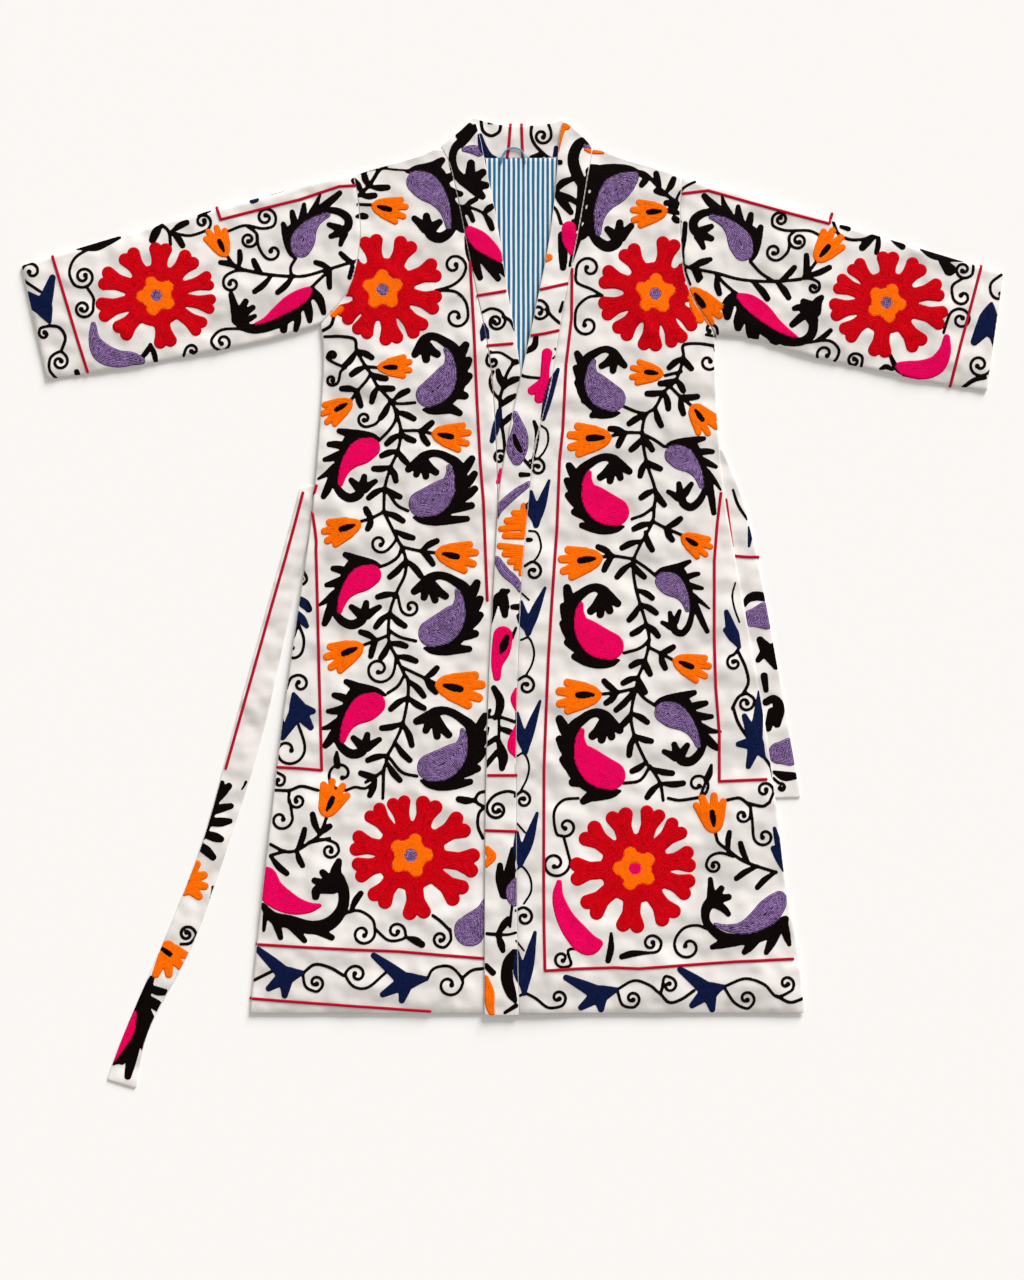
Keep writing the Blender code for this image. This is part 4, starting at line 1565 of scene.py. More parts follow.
FRONT_RIGHT_MOTIFS = (
    Paisley((420, 185), (448, 230), P, -1, (462, 230), (441, 160.5), (414.5, 219), 0.95),
    Tulip((372, 206), (406, 212)), Stem(((408, 171), (394, 170), (379, 169), (352, 174)), 1.3),
    Stem(((387, 165), (379, 171), (370, 185), (359, 196)), 2.2),
    *sprigs((370, 187, 388, 188), (361, 196, 375, 196), (369, 187, 364, 174), (362, 193, 354, 181)),
    *stems((358, 205, 374, 205.5)), *sprigs((357, 217, 366, 217)),
    *curls((1, 454, 266, 436, 291, 452, 286, 462, 278, 466, 268),
        (-1, 456, 317, 436, 291, 455, 292, 465, 301, 468, 312)),
    *stems((325, 337, 342, 337, 355, 340, 357, 351, 366, 367, 371, 374, 378, 387, 390, 400, 396, 412, 401,
        431, 398, 451, 391, 467, 385, 488, 384, 512), (384, 512, 398, 540, 402, 547, 406, 560, 405, 575,
        397, 592, 390, 613, 389, 640, 396, 656, 404, 673, 408, 680, 408, 697, 403, 723, 395, 742, 388, 755,
        386, 763, 384, 770, 383, 798)),
    *sprigs((357, 351, 372, 358, 345, 366), (366, 367, 352, 375), (371, 374, 386, 379),
        (358, 391, 342, 389, 361, 406), (378, 387, 393, 389, 372, 402), (394, 400, 408, 391),
        (396, 412, 414, 419), (420, 431, 432, 423, 428, 444), (401, 434, 387, 444, 414, 441),
        (398, 451, 382, 456, 407, 463), (391, 467, 374, 469, 396, 481), (385, 488, 369, 498, 400, 497),
        (384, 512, 403, 521), (372, 518, 366, 509, 368, 529), (396, 531, 413, 538),
        (421, 551, 437, 541, 433, 564), (406, 560, 390, 577, 421, 576), (397, 594, 378, 597),
        (390, 613, 376, 627, 405, 626), (377, 640, 361, 632, 371, 656), (389, 643, 406, 646, 381, 658),
        (396, 656, 416, 661), (425, 678, 437, 668, 436, 692), (408, 680, 424, 696),
        (408, 697, 391, 709, 424, 708), (403, 723, 382, 728, 412, 745), (395, 742, 410, 760),
        (388, 755, 368, 760), (387, 762, 400, 780), (376, 776, 361, 773, 370, 795), (337, 752, 338, 766)),
    *stems((366, 367, 377, 368), (371, 374, 366, 382, 358, 391, 351, 401), (390, 400, 398, 404, 415, 403),
        (397, 410, 395, 422, 388, 432, 379, 441), (401, 431, 420, 431, 432, 434),
        (388, 492, 397, 505, 408, 511), (384, 512, 372, 518, 360, 522), (402, 547, 420, 551, 436, 553),
        (402, 547, 398, 557, 388, 564, 379, 567), (389, 630, 400, 637, 416, 641),
        (389, 635, 377, 640, 364, 645), (402, 667, 425, 678, 437, 684), (404, 676, 398, 686, 388, 693),
        (390, 758, 402, 772, 417, 776), (384, 770, 376, 776, 366, 782)),
    Tulip((378, 368), (411, 366), 0.87), Tulip((352, 401), (324, 419)), Tulip((432, 434), (469, 438)),
    Tulip((361, 523), (325, 537), 0.9), Tulip((436, 553), (476, 558)), Tulip((363, 645), (328, 663)),
    Tulip((436, 684), (482, 691)),
    Paisley((428, 394), (444, 347), P, 1, (466, 345.5), (459.5, 413.5), (414, 356.5), 0.88, WIDE_THREE),
    Paisley((422, 503), (448, 464), P, 1, (472, 459), (467, 519), (407, 471), 1.0, WIDE),
    Paisley((432, 632), (456, 588), P, 1, (477, 583), (469, 649), (413, 593), 0.97, WIDE),
    Paisley((431, 766), (462, 727), P, 1, (485, 716), (470, 781.5), (415, 722.5), 0.97, WIDE),
    Paisley((368, 450), (341, 487), K, 1, (324.5, 496.5), (341, 431), (375.5, 481.5)),
    Paisley((369, 577), (340, 614), K, 1, (325.5, 623.5), (347, 554.5), (379.5, 607), 0.98),
    Paisley((372, 706), (343, 743), K, 1, (326, 745.5), (348, 681.5), (379.5, 739.5), 1.08),
    Curl(((346, 368), (336, 364), (328, 359)), (333, 356), -1, 1.0),
    Curl(((346, 368), (341, 372), (339, 381)), (332, 380), -1, 1.1), *sprigs((390, 402, 381, 418)),
    *curls((-1, 365, 419, 382, 416, 376, 424, 367, 427), (-1, 380, 543, 396, 534, 396, 540, 390, 548),
        (1, 411, 607, 398, 596, 401, 609)), Curl(((396, 656), (395, 667)), (379, 669), -1, 1.3),
    *curls((-1, 342, 774, 376, 780, 366, 788, 355, 787)),
    Rosette((411, 855), ((130, 62), (103, 60), (70, 60), (32, 65), (-7, 69), (-39, 67), (-84, 64),
        (-126, 59), (196, 59), (167, 61)), 74, 1.06),
    Free(K, (((266, 878, 12), (271, 890, 13), (283, 899.5, 12), (297, 905.5, 8.8), (310, 907, 5.4),
        (320, 905, 2.2)),), Layer.MAIN),
    Free(B, (((263, 905, 3), (274, 917, 6), (292, 922, 7), (312, 927, 7), (330, 923, 7), (342, 909, 6),
        (344, 892, 6), (338, 880, 8)), ((338, 882, 7), (336, 872, 6), (339, 861, 3.5)), ((334, 884, 6),
        (323, 872, 3.6)), ((332, 886, 6), (315, 880, 3.4)), ((333, 888, 6), (318, 889, 5), (316, 896, 4)),
        ((266, 914, 3), (264, 930, 2)), ((276, 920, 5), (281, 937, 3)), ((292, 925, 5), (305, 940, 3)),
        ((314, 928, 5), (332, 937, 3.4)))),
    Curl(((340, 915), (358, 910), (372, 918), (375, 928)), (363, 933), -1, 1.2),
    *curls((1, 396, 931, 375, 928, 389, 940, 404, 938)), *sprigs((351, 911, 361, 893)),
    Curl(((450, 929), (451, 939), (446, 946)), (441, 938), -1, 1.1),
    *stems((271, 844, 285, 851, 297, 850, 310, 842, 320, 834, 327, 817), (271, 855, 285, 851),
        (310, 842, 330, 838)), Sprig((297, 850), ((305, 829), (303, 865)), 3.4),
    *sprigs((320, 834, 313, 814, 330, 826), (271, 856, 287, 873)), Tulip((325, 816), (338, 782), 1.1),
    *curls((-1, 330, 850, 313, 841, 324, 839, 336, 843, 339, 850)),
    *stems((276, 790, 290, 790, 302, 786, 318, 790)),
    *curls((1, 298, 800, 290, 790, 289, 800), (-1, 281, 819, 290, 800, 292, 812)),
    Curl(((277, 772), (284, 776)), (279, 781), -1, 0.8),
    Free(P, (((487, 900, 4), (484, 914, 10), (470, 930, 16)),), Layer.MAIN),
    *stems((433, 915, 441, 921, 450, 930)), Leaf((407, 937), (422, 944), 4.2),
    Leaf((476, 800), (459, 799), 4.0),
    *stems((475, 799, 479, 793, 486, 791), (475, 801, 481, 805, 487, 807),
        (485, 807, 479, 813, 478, 826, 483, 838)), Lily((303, 972), ((258, 949), (269, 988), (285, 995))),
    Lily((427, 978), ((374, 955), (383, 994), (402, 1000))),
    *curls((1, 316, 982, 303, 973, 306, 986, 316, 991)), *stems((303, 973, 315, 964, 330, 967, 344, 975)),
    *curls((-1, 357, 974, 386, 972, 368, 987, 354, 986, 346, 975)), *stems((252, 981, 262, 976, 272, 971)),
    *curls((-1, 449, 984, 427, 979, 434, 968, 450, 966, 462, 978)), *stems((462, 978, 472, 970, 484, 968)),
    Sprig((299, 597), ((309, 609),), 4.4),
    Free(N, (((299, 598, 2.4), (303, 603, 4.4), (308, 609, 2.6)), ((297, 612, 2.4), (302, 619, 4.4),
        (307, 626, 2.6))), Layer.MAIN), Free(B, (((312, 492, 1.4), (309, 508, 2.5), (307, 525, 1.4)),)),
    Curl(((303, 570), (307, 578)), (301, 580), -1, 0.9),
    Curl(((297, 620), (304, 638), (303, 650)), (292, 650), -1, 0.8), *stems((299, 620, 295, 634, 292, 640)),
    *curls((-1, 300, 684, 284, 730, 282, 712, 285, 695, 290, 680)),
    Lily((294, 694), ((313, 711), (311, 727), (283, 737)), wide=5.2),
    *curls((-1, 288, 750, 297, 720, 304, 740)),
)

FRONT_LEFT_MOTIFS = (
    *stems((714, 346, 698, 344, 683, 346, 683, 358, 676, 380, 664, 392, 655, 408, 646, 415, 642, 433, 646,
        461, 655, 490, 654, 507, 652, 523, 640, 545, 633, 563, 635, 585, 640, 604), (640, 604, 646, 624,
        649, 640, 645, 660, 638, 677, 636, 688, 631, 713, 634, 735, 646, 762, 651, 768, 660, 783, 663,
        800)),
    *sprigs((683, 358, 669, 368, 691, 369), (676, 380, 660, 384, 683, 391), (680, 397, 697, 397, 683, 414),
        (664, 392, 647, 394, 668, 409), (655, 408, 661, 426), (646, 415, 629, 424),
        (626, 433, 610, 429, 618, 446), (642, 438, 631, 450, 652, 450), (646, 461, 640, 476, 660, 469),
        (655, 490, 641, 498, 664, 505), (652, 523, 634, 529), (665, 528, 680, 519, 672, 540),
        (645, 532, 652, 550), (640, 541, 622, 548), (613, 556, 598, 547, 604, 570),
        (632, 563, 617, 577, 644, 577), (638, 590, 652, 598), (640, 604, 629, 620, 656, 613),
        (646, 624, 632, 634, 658, 636), (660, 653, 673, 647, 665, 668), (645, 660, 631, 666, 650, 674),
        (638, 677, 623, 683, 645, 692), (618, 692, 604, 681, 606, 703), (634, 690, 616, 710),
        (631, 713, 620, 727, 647, 722), (634, 735, 651, 741, 629, 755), (646, 762, 632, 771),
        (651, 768, 672, 773), (660, 783, 683, 783, 647, 797), (711, 765, 706, 780)),
    *stems((681, 372, 665, 376), (671, 388, 680, 397, 691, 406), (646, 414, 636, 412, 624, 407),
        (642, 433, 626, 433, 612, 436), (642, 434, 654, 440, 664, 447), (654, 507, 643, 515, 632, 519),
        (652, 521, 665, 528, 681, 535), (633, 559, 613, 556, 602, 557), (634, 560, 646, 568, 657, 577),
        (649, 640, 640, 648, 624, 653), (650, 648, 660, 653, 673, 660), (636, 688, 618, 692, 602, 694),
        (636, 688, 644, 698, 656, 706), (650, 766, 640, 780, 624, 783), (700, 797, 680, 800, 668, 798)),
    Tulip((663, 374), (631, 373)), Tulip((611, 437), (569, 442)), Tulip((691, 406), (713, 431), 1.1),
    Tulip((602, 557), (561, 566)), Tulip((681, 536), (709, 551)), Tulip((601, 694), (558, 698)),
    Tulip((673, 660), (708, 671)),
    Paisley((613, 398), (595, 359), P, -1, (577, 354), (592, 416), (625.5, 367.5), 1.05, WIDE_THREE),
    Paisley((615, 511), (590, 470), K, -1, (569, 466), (582, 525.5), (630.5, 473), 1.04, WIDE),
    Paisley((610, 645), (582, 601), K, -1, (567, 588), (574.5, 656.5), (619, 605), 0.93, WIDE),
    Paisley((611, 774), (583, 727), K, -1, (559.5, 719), (583.5, 801), (621, 731.5), 0.93, WIDE),
    Paisley((676, 457), (701, 489), P, -1, (713, 513), (702, 438.5), (668, 492), 1.08),
    Paisley((666, 583), (687, 612), P, -1, (706.5, 631.5), (688, 561.5), (662, 622.5), 1.18),
    Paisley((667, 714), (698, 748), P, -1, (716.5, 748), (692.5, 692.5), (664, 751.5), 1.02),
    *curls((-1, 708, 362, 714, 346, 716, 354), (1, 697, 784, 706, 780, 700, 797)),
    Rosette((635, 868), ((142, 64), (107, 61), (72, 64), (44, 64), (10, 60), (-20, 61), (-55, 64),
        (-95, 64), (222, 65), (183, 65)), 107, 1.06, K), Tulip((715, 832), (707, 795), 1.1),
    Free(K, (((559, 882, 3), (558, 897, 6), (565, 917, 9), (577, 934, 11.5), (588, 944, 11),
        (598, 943, 5)),), Layer.MAIN),
    Free(P, (((714.5, 923.5, 1.6), (727, 927.5, 3.8), (742.5, 927, 6.4), (756, 920.5, 10), (768, 911, 12.6),
        (775, 904, 11), (779, 898, 7.5)),), Layer.MAIN),
    Free(B, (((714, 899, 6.5), (707, 906, 5.6), (705, 914, 4.6), (706.5, 922, 4.2), (712, 929, 4.6),
        (722, 936.5, 5.6), (733, 939, 6), (745, 938, 6.5), (758.5, 935, 7), (769.5, 930, 7), (779, 924, 6),
        (785, 919, 4)), ((711, 898, 5), (710.5, 887, 3.6), (710, 879, 2.8)), ((715, 897, 5),
        (721, 888, 3.4)), ((717, 899, 5), (728, 896.5, 3.6)), ((715, 903, 5), (723, 908, 4),
        (728, 913.5, 3)), ((735, 941, 5), (722, 943.5, 4.8), (712, 946.5, 2.9)), ((757, 936, 5.5),
        (750, 945, 5), (744, 951.5, 3.1)), ((776, 930, 6), (771, 942, 5), (766, 952, 2.9)), ((784, 922, 4),
        (786, 934, 4.4), (789, 944, 2.4)))),
    *curls((1, 651, 943, 621, 957, 642, 953, 657, 951, 661, 943),
        (1, 688, 946, 706, 928, 697, 925, 685, 927, 677, 935)),
    *sprigs((611, 933, 608, 960), (645, 952, 622, 956)),
    *curls((-1, 562, 958, 578, 948, 568, 950, 571, 963),
        (1, 566, 826, 578, 798, 563, 800, 554, 812, 556, 832)),
    Curl(((564, 838), (568, 853)), (555, 863), -1, 1.4),
    *stems((728, 850, 742, 860, 757, 866, 776, 872), (728, 850, 718, 842, 715, 832)),
    Sprig((757, 866), ((736, 878),), 3.4), Sprig((748, 862), ((740, 843),), 3.4),
    Sprig((775, 872), ((757, 887),), 3.4), Sprig((728, 850), ((729, 832),), 3.2),
    *curls((1, 714, 865, 733, 856, 720, 852.5, 710, 856, 706, 864)),
    *stems((722, 801, 730, 799, 740, 798, 750, 806)),
    *curls((-1, 742, 815, 750, 806, 750, 812), (1, 764, 836, 750, 806, 752, 822, 753, 836)),
    Stem(((748, 803), (762, 806), (769, 802)), 1.9), *curls((1, 764, 790, 769, 802, 773, 792)),
    *stems((763, 756, 770, 766, 773, 778)), Lily((617, 989), ((566, 977), (581, 1007), (601, 1009))),
    Lily((723, 986), ((680, 969), (692, 1005), (712, 1009))),
    *curls((1, 632, 998, 617, 989, 622, 1004, 632, 1007),
        (-1, 669, 985, 617, 989, 634, 980, 650, 985, 660, 992, 664, 977)),
    *stems((660, 993, 669, 1002, 681, 999, 694, 990)),
    *curls((1, 746, 998, 724, 987, 734, 1002, 746, 1008),
        (1, 786, 983, 724, 986, 745, 978, 764, 984, 776, 996, 790, 991)),
    *stems((777, 996, 790, 1002, 803, 998)),
    *curls((1, 558, 997, 520, 995, 526, 993, 536, 998, 548, 1007, 560, 1006)),
    Stem(((735, 583), (732, 595), (734, 608), (739, 622)), 1.2),
    Lily((739, 647), ((726, 612), (725, 630)), wide=4.0), *curls((1, 734, 663, 739, 647, 734, 654)),
    *stems((738, 652, 745, 667, 748, 682, 743, 693), (732, 708, 738, 697, 746, 693)),
    *curls((-1, 745, 703, 746, 693, 753, 698)), *stems((733, 708, 738, 723, 748, 738, 760, 750)),
    Lily((763, 756), ((760, 692), (744, 716), (738, 744), (748, 766)), wide=4.6),
    Free(N, (((774, 828, 2), (778, 845, 3.4), (783, 868, 1.6)), ((773, 848, 3), (779, 860, 3.4),
        (783, 870, 1.6))), Layer.MAIN), *sprigs((692, 268, 706, 262, 700, 278)),
)

FRONT_RIGHT_ROSETTE = (
    Rosette((383, 290), ((104, 55), (63, 56), (21, 60), (-14, 59), (-48, 58), (-80, 55), (-116, 51),
        (-146, 50), (142, 58), (178, 58)), 91, 0.97),
)
FRONT_LEFT_ROSETTE = (
    Rosette((655, 294), ((122, 54), (75, 57), (161, 57), (197, 57), (229, 55), (264, 57), (295, 56),
        (325, 53), (37, 56), (0, 56)), 86, 0.97),
)

SLEEVE_RIGHT_MOTIFS = (
    Rosette((157, 296), ((85, 52), (48, 54), (16, 59), (-9, 60), (-36, 58), (-79, 52), (226, 54), (195, 61),
        (161, 59), (125, 53)), 111, 0.95), Tulip((227, 257), (212, 229), 1.0),
    Curl(((228, 232), (245, 226), (262, 229), (273, 227)), (266, 218), 1, 1.4),
    Curl(((248, 227), (256, 233)), (249, 240), -1, 1.4),
    Curl(((257, 235), (259, 247), (264, 256)), (273, 252), 1, 0.9),
    *stems((228, 257, 233, 264, 238, 268, 262, 274, 300, 277, 325, 271, 345, 265, 358, 261)),
    Curl(((255, 272), (238, 271), (228, 275)), (232, 284), 1, 1.2),
    Sprig((239, 268), ((221, 263), (240, 252)), 3.2), Sprig((262, 274), ((254, 261),), 3.4),
    Sprig((272, 276), ((255, 292),), 3.4), Sprig((294, 276), ((278, 293),), 3.4),
    *stems((292, 277, 291, 268, 296, 259)), Sprig((331, 270), ((316, 263), (330, 288)), 3.2),
    *stems((330, 271, 318, 282, 311, 289)), Sprig((353, 263), ((341, 254), (350, 278)), 3.0),
    Paisley((303, 246), (331, 215), P, -1, (340, 194), (283.5, 226), (341, 245), 1.05),
    Free(K, (((309, 291, 4), (301, 297, 7.5), (291, 303, 8), (279, 311, 6), (266, 320, 3),
        (256, 324, 1.5)),), Layer.MAIN),
    Free(B, (((310, 296, 5), (300, 306, 6), (288, 316, 7.4), (272, 324, 7), (256, 329, 5.4),
        (244, 327, 4.6), (237, 320, 5)), ((237, 320, 5.4), (235, 308, 4.6), (231.5, 295, 3)),
        ((238, 316, 4.6), (246, 302, 3.4)), ((239, 318, 4.4), (253, 308, 3.2)), ((240, 321, 4),
        (248, 320, 3.4), (255, 316.5, 2.6)), ((312, 292, 5), (320, 300, 4.6), (324, 313, 3)),
        ((306, 300, 5), (309, 312, 4.6), (310, 321, 3)), ((296, 308, 5), (298, 320, 4), (296, 330, 3)),
        ((284, 316, 5), (284, 330, 4)), ((77, 372, 3), (78, 375, 3)), ((228, 204, 1.2), (236, 202, 1.2)),
        ((270, 195, 1.2), (283, 191, 1.6)))),
    Free(O, (((341, 309, 3), (334, 314, 4)), ((236, 202, 0.8), (268, 194, 0.8))), Layer.MAIN),
    Free(N, (((253, 201, 3.4), (256, 200, 3.4)),), Layer.MAIN),
    Stem(((334, 318), (331, 326), (323, 331)), 2.0), Curl(((41, 292), (29, 284)), (32, 272), -1, 1.2),
    Lily((50, 322), ((53, 278), (29, 295), (33, 307)), wide=5.2),
    *stems((50, 326, 60, 328, 66, 338, 62, 351)), Curl(((51, 326), (42, 328)), (45, 334), 1, 0.9),
    Curl(((57, 379), (50, 370), (51, 358), (60, 352)), (60, 362), -1, 1.2),
    Free(B, (((76, 249, 1.2), (94, 247, 5), (105, 243, 5), (120, 238, 1.8)),)),
    Curl(((92, 248), (76, 258), (70, 272), (74, 284)), (84, 277), 1, 1.5),
    Curl(((87, 287), (94, 298), (94, 305)), (84, 309), -1, 1.5),
    Free(P, (((94, 325, 3), (95, 340, 6), (103, 353, 10), (118, 359, 9), (132, 359, 7), (142, 361, 4)),),
        Layer.MAIN), Sprig((151, 345), ((143, 357), (156, 361)), 3.0),
    Curl(((184, 356), (186, 350)), (193, 351), -1, 0.9),
    Curl(((247, 330), (233, 329), (220, 331), (212, 340)), (223, 342), 1, 1.2),
    Sprig((162, 225), ((153, 240),), 4.6), *stems((162, 225, 169, 232, 171, 245)),
    Sprig((172, 232), ((187, 223), (183, 246)), 3.6),
    Curl(((172, 233), (190, 236), (206, 231)), (203, 222), 1, 1.3),
    Free(B, (((199, 216, 1.4), (210, 211, 1.8)),)),
)

SLEEVE_LEFT_MOTIFS = (
    Rosette((886, 303), ((88, 50), (50, 52), (14, 58), (-16, 62), (-53, 56), (-98, 54), (218, 54),
        (188, 57), (158, 55), (130, 52)), 66, 0.95), Tulip((816, 262), (837, 233), 1.05),
    Curl(((820, 236), (808, 231), (786, 231), (774, 227)), (780, 220), -1, 1.4),
    Curl(((795, 231), (789, 237)), (798, 241), 1, 1.4),
    Curl(((789, 238), (788, 251), (781, 259)), (774, 252), -1, 1.2),
    *stems((680, 266, 697, 270, 717, 274, 740, 280, 770, 282, 800, 280)),
    Curl(((795, 280), (808, 279), (817, 282)), (813, 288), -1, 1.1),
    Sprig((691, 267), ((710, 260), (698, 281)), 3.0), Sprig((716, 277), ((719, 294),), 3.6),
    *stems((716, 275, 723, 283, 733, 292)), Sprig((752, 282), ((767, 299),), 3.8),
    *stems((750, 262, 760, 273, 772, 281)), Sprig((776, 282), ((788, 298),), 3.8),
    Sprig((781, 280), ((794, 268),), 3.4), Sprig((804, 277), ((806, 256), (829, 268)), 3.4),
    *stems((804, 277, 810, 270, 816, 262)),
    Paisley((741, 249), (708, 217), P, 1, (704, 197), (760.5, 229), (703, 248), 0.97),
    Free(K, (((740, 297, 4), (750, 303, 8), (762, 312, 8.5), (775, 324, 6), (788, 333, 3.5),
        (796, 337, 1.5)),), Layer.MAIN),
    Free(B, (((734, 295, 4), (728, 305, 6.5), (727, 317, 4)), ((742, 305, 4), (739, 320, 6), (738, 328, 4)),
        ((750, 315, 5), (752, 330, 7), (754, 340, 5)), ((764, 325, 6), (775, 340, 6)), ((737, 298, 5),
        (745, 309, 8), (757, 321, 8.6), (771, 332, 8.4), (785, 340, 6)), ((745, 305, 5), (757, 320, 7),
        (770, 330, 7), (785, 340, 6), (800, 342, 4.4), (810, 336, 4.8), (813, 326, 5), (811, 315, 5.4)),
        ((812, 320, 6), (805, 315, 5), (792, 325, 3.5)), ((812, 312, 6), (800, 308, 4), (794, 309, 3)),
        ((814, 308, 6), (803, 302, 3.4)), ((815, 312, 6), (817, 303, 5), (821, 298, 3)))),
    Sprig((816, 341), ((830, 331),), 3.0), Curl(((806, 343), (828, 341), (838, 349)), (825, 354), -1, 1.2),
    *stems((833, 222, 838, 234, 850, 240, 866, 239, 876, 234)),
    Free(B, (((841, 227, 2.2), (848, 229, 3)),)), Sprig((877, 234), ((862, 248),), 4.4),
    Sprig((878, 234), ((876, 253),), 3.0), Sprig((889, 237), ((902, 247),), 4.0),
    Free(B, (((921, 249, 2), (932, 255, 4.4), (945, 258, 4), (963, 261, 1.6)), ((942, 262, 4),
        (949, 270, 6.5)), ((962, 388, 2), (974, 380, 2.6), (985, 378, 2)), ((889, 354, 2), (896, 368, 3),
        (906, 377, 1.6)), ((880, 369, 1.6), (886, 367, 3), (892, 370, 1.6)), ((1000, 294, 2.6),
        (1001, 296, 2.6)))), Curl(((973, 264), (972, 274)), (963, 270), -1, 1.3),
    Curl(((962, 279), (952, 286), (952, 297)), (962, 297), 1, 0.9),
    Curl(((943, 333), (947, 320)), (960, 320), -1, 1.4), Curl(((861, 367), (862, 358)), (854, 361), 1, 1.2),
    Free(K, (((946, 338, 3.5), (944, 352, 6.5), (936, 365, 9.5), (922, 370, 10), (907, 369, 8),
        (900, 367, 5)),), Layer.MAIN), Curl(((1001, 275), (991, 283)), (1001, 293), 1, 0.5),
    Lily((991, 304), ((974, 342), (994, 338)), wide=6.4),
    Curl(((989, 332), (994, 350), (992, 366)), (979, 365), -1, 1.4),
    Free(O, (((697, 296, 3), (704, 304, 3)),), Layer.MAIN),
)

LAP_MOTIFS = (
    Free(N, (((558, 370, 2), (552, 384, 4.4), (547, 402, 4.4), (543, 419, 2.6)), ((536, 526, 2.4),
        (541, 506, 5), (549, 481, 1.6)), ((536, 524, 3), (533, 508, 5), (531, 492, 2)), ((535, 520, 3),
        (529, 512, 3), (527, 505, 2)), ((528, 634, 2.4), (534, 614, 5), (545, 588, 1.6)), ((528, 632, 3),
        (524, 618, 5), (521, 602, 2)), ((528, 628, 3), (522, 624, 3), (518, 616, 2)), ((525, 753, 2.4),
        (530, 730, 5), (540, 701, 1.6)), ((525, 750, 3), (521, 736, 5), (517, 713, 2)), ((520, 865, 2.4),
        (528, 842, 5.4), (537, 813, 1.8)), ((520, 862, 3), (518, 850, 5), (517, 832, 2)), ((524, 993, 2.4),
        (528, 965, 6), (535, 932, 2)), ((524, 988, 3), (519, 970, 6), (517, 950, 2))), Layer.MAIN, 2.4),
    Free(B, (((534, 422, 2), (537, 432, 2.8), (536, 446, 2.2), (532, 464, 1.4)), ((520, 455, 2),
        (531, 468, 1.8)), ((521, 475, 3), (530, 475, 2)), ((528, 540, 2.6), (531, 540, 2.2)))),
    Stem(((541, 426), (547, 431), (548, 442), (544, 452), (538, 459)), 1.3),
    *curls((-1, 537, 468, 530, 461, 538, 459)),
    Stem(((529, 531), (537, 533), (541, 546), (538, 556), (533, 562)), 1.3),
    *curls((-1, 533, 572, 525, 566, 532, 562)),
    Stem(((521, 640), (529, 638), (534, 651), (532, 664), (526, 675)), 1.3),
    *curls((-1, 526, 686, 518, 680, 525, 676)),
    Stem(((517, 756), (524, 753), (529, 765), (527, 778), (521, 790)), 1.3),
    *curls((-1, 523, 800, 515, 796, 522, 791)),
    Stem(((516, 870), (522, 866), (530, 877), (531, 891), (524, 903)), 1.3),
    *curls((-1, 524, 917, 516, 910, 523, 907)), Stem(((517, 823), (525, 832)), 1.2),
    Stem(((516, 940), (524, 950)), 1.2), Stem(((518, 590), (529, 600)), 1.2),
    Stem(((563, 303), (560, 312)), 2.0), Curl(((532, 303), (540, 301)), (539, 312), -1, 1.4),
    *stems((546, 310, 553, 318, 560, 324)),
)

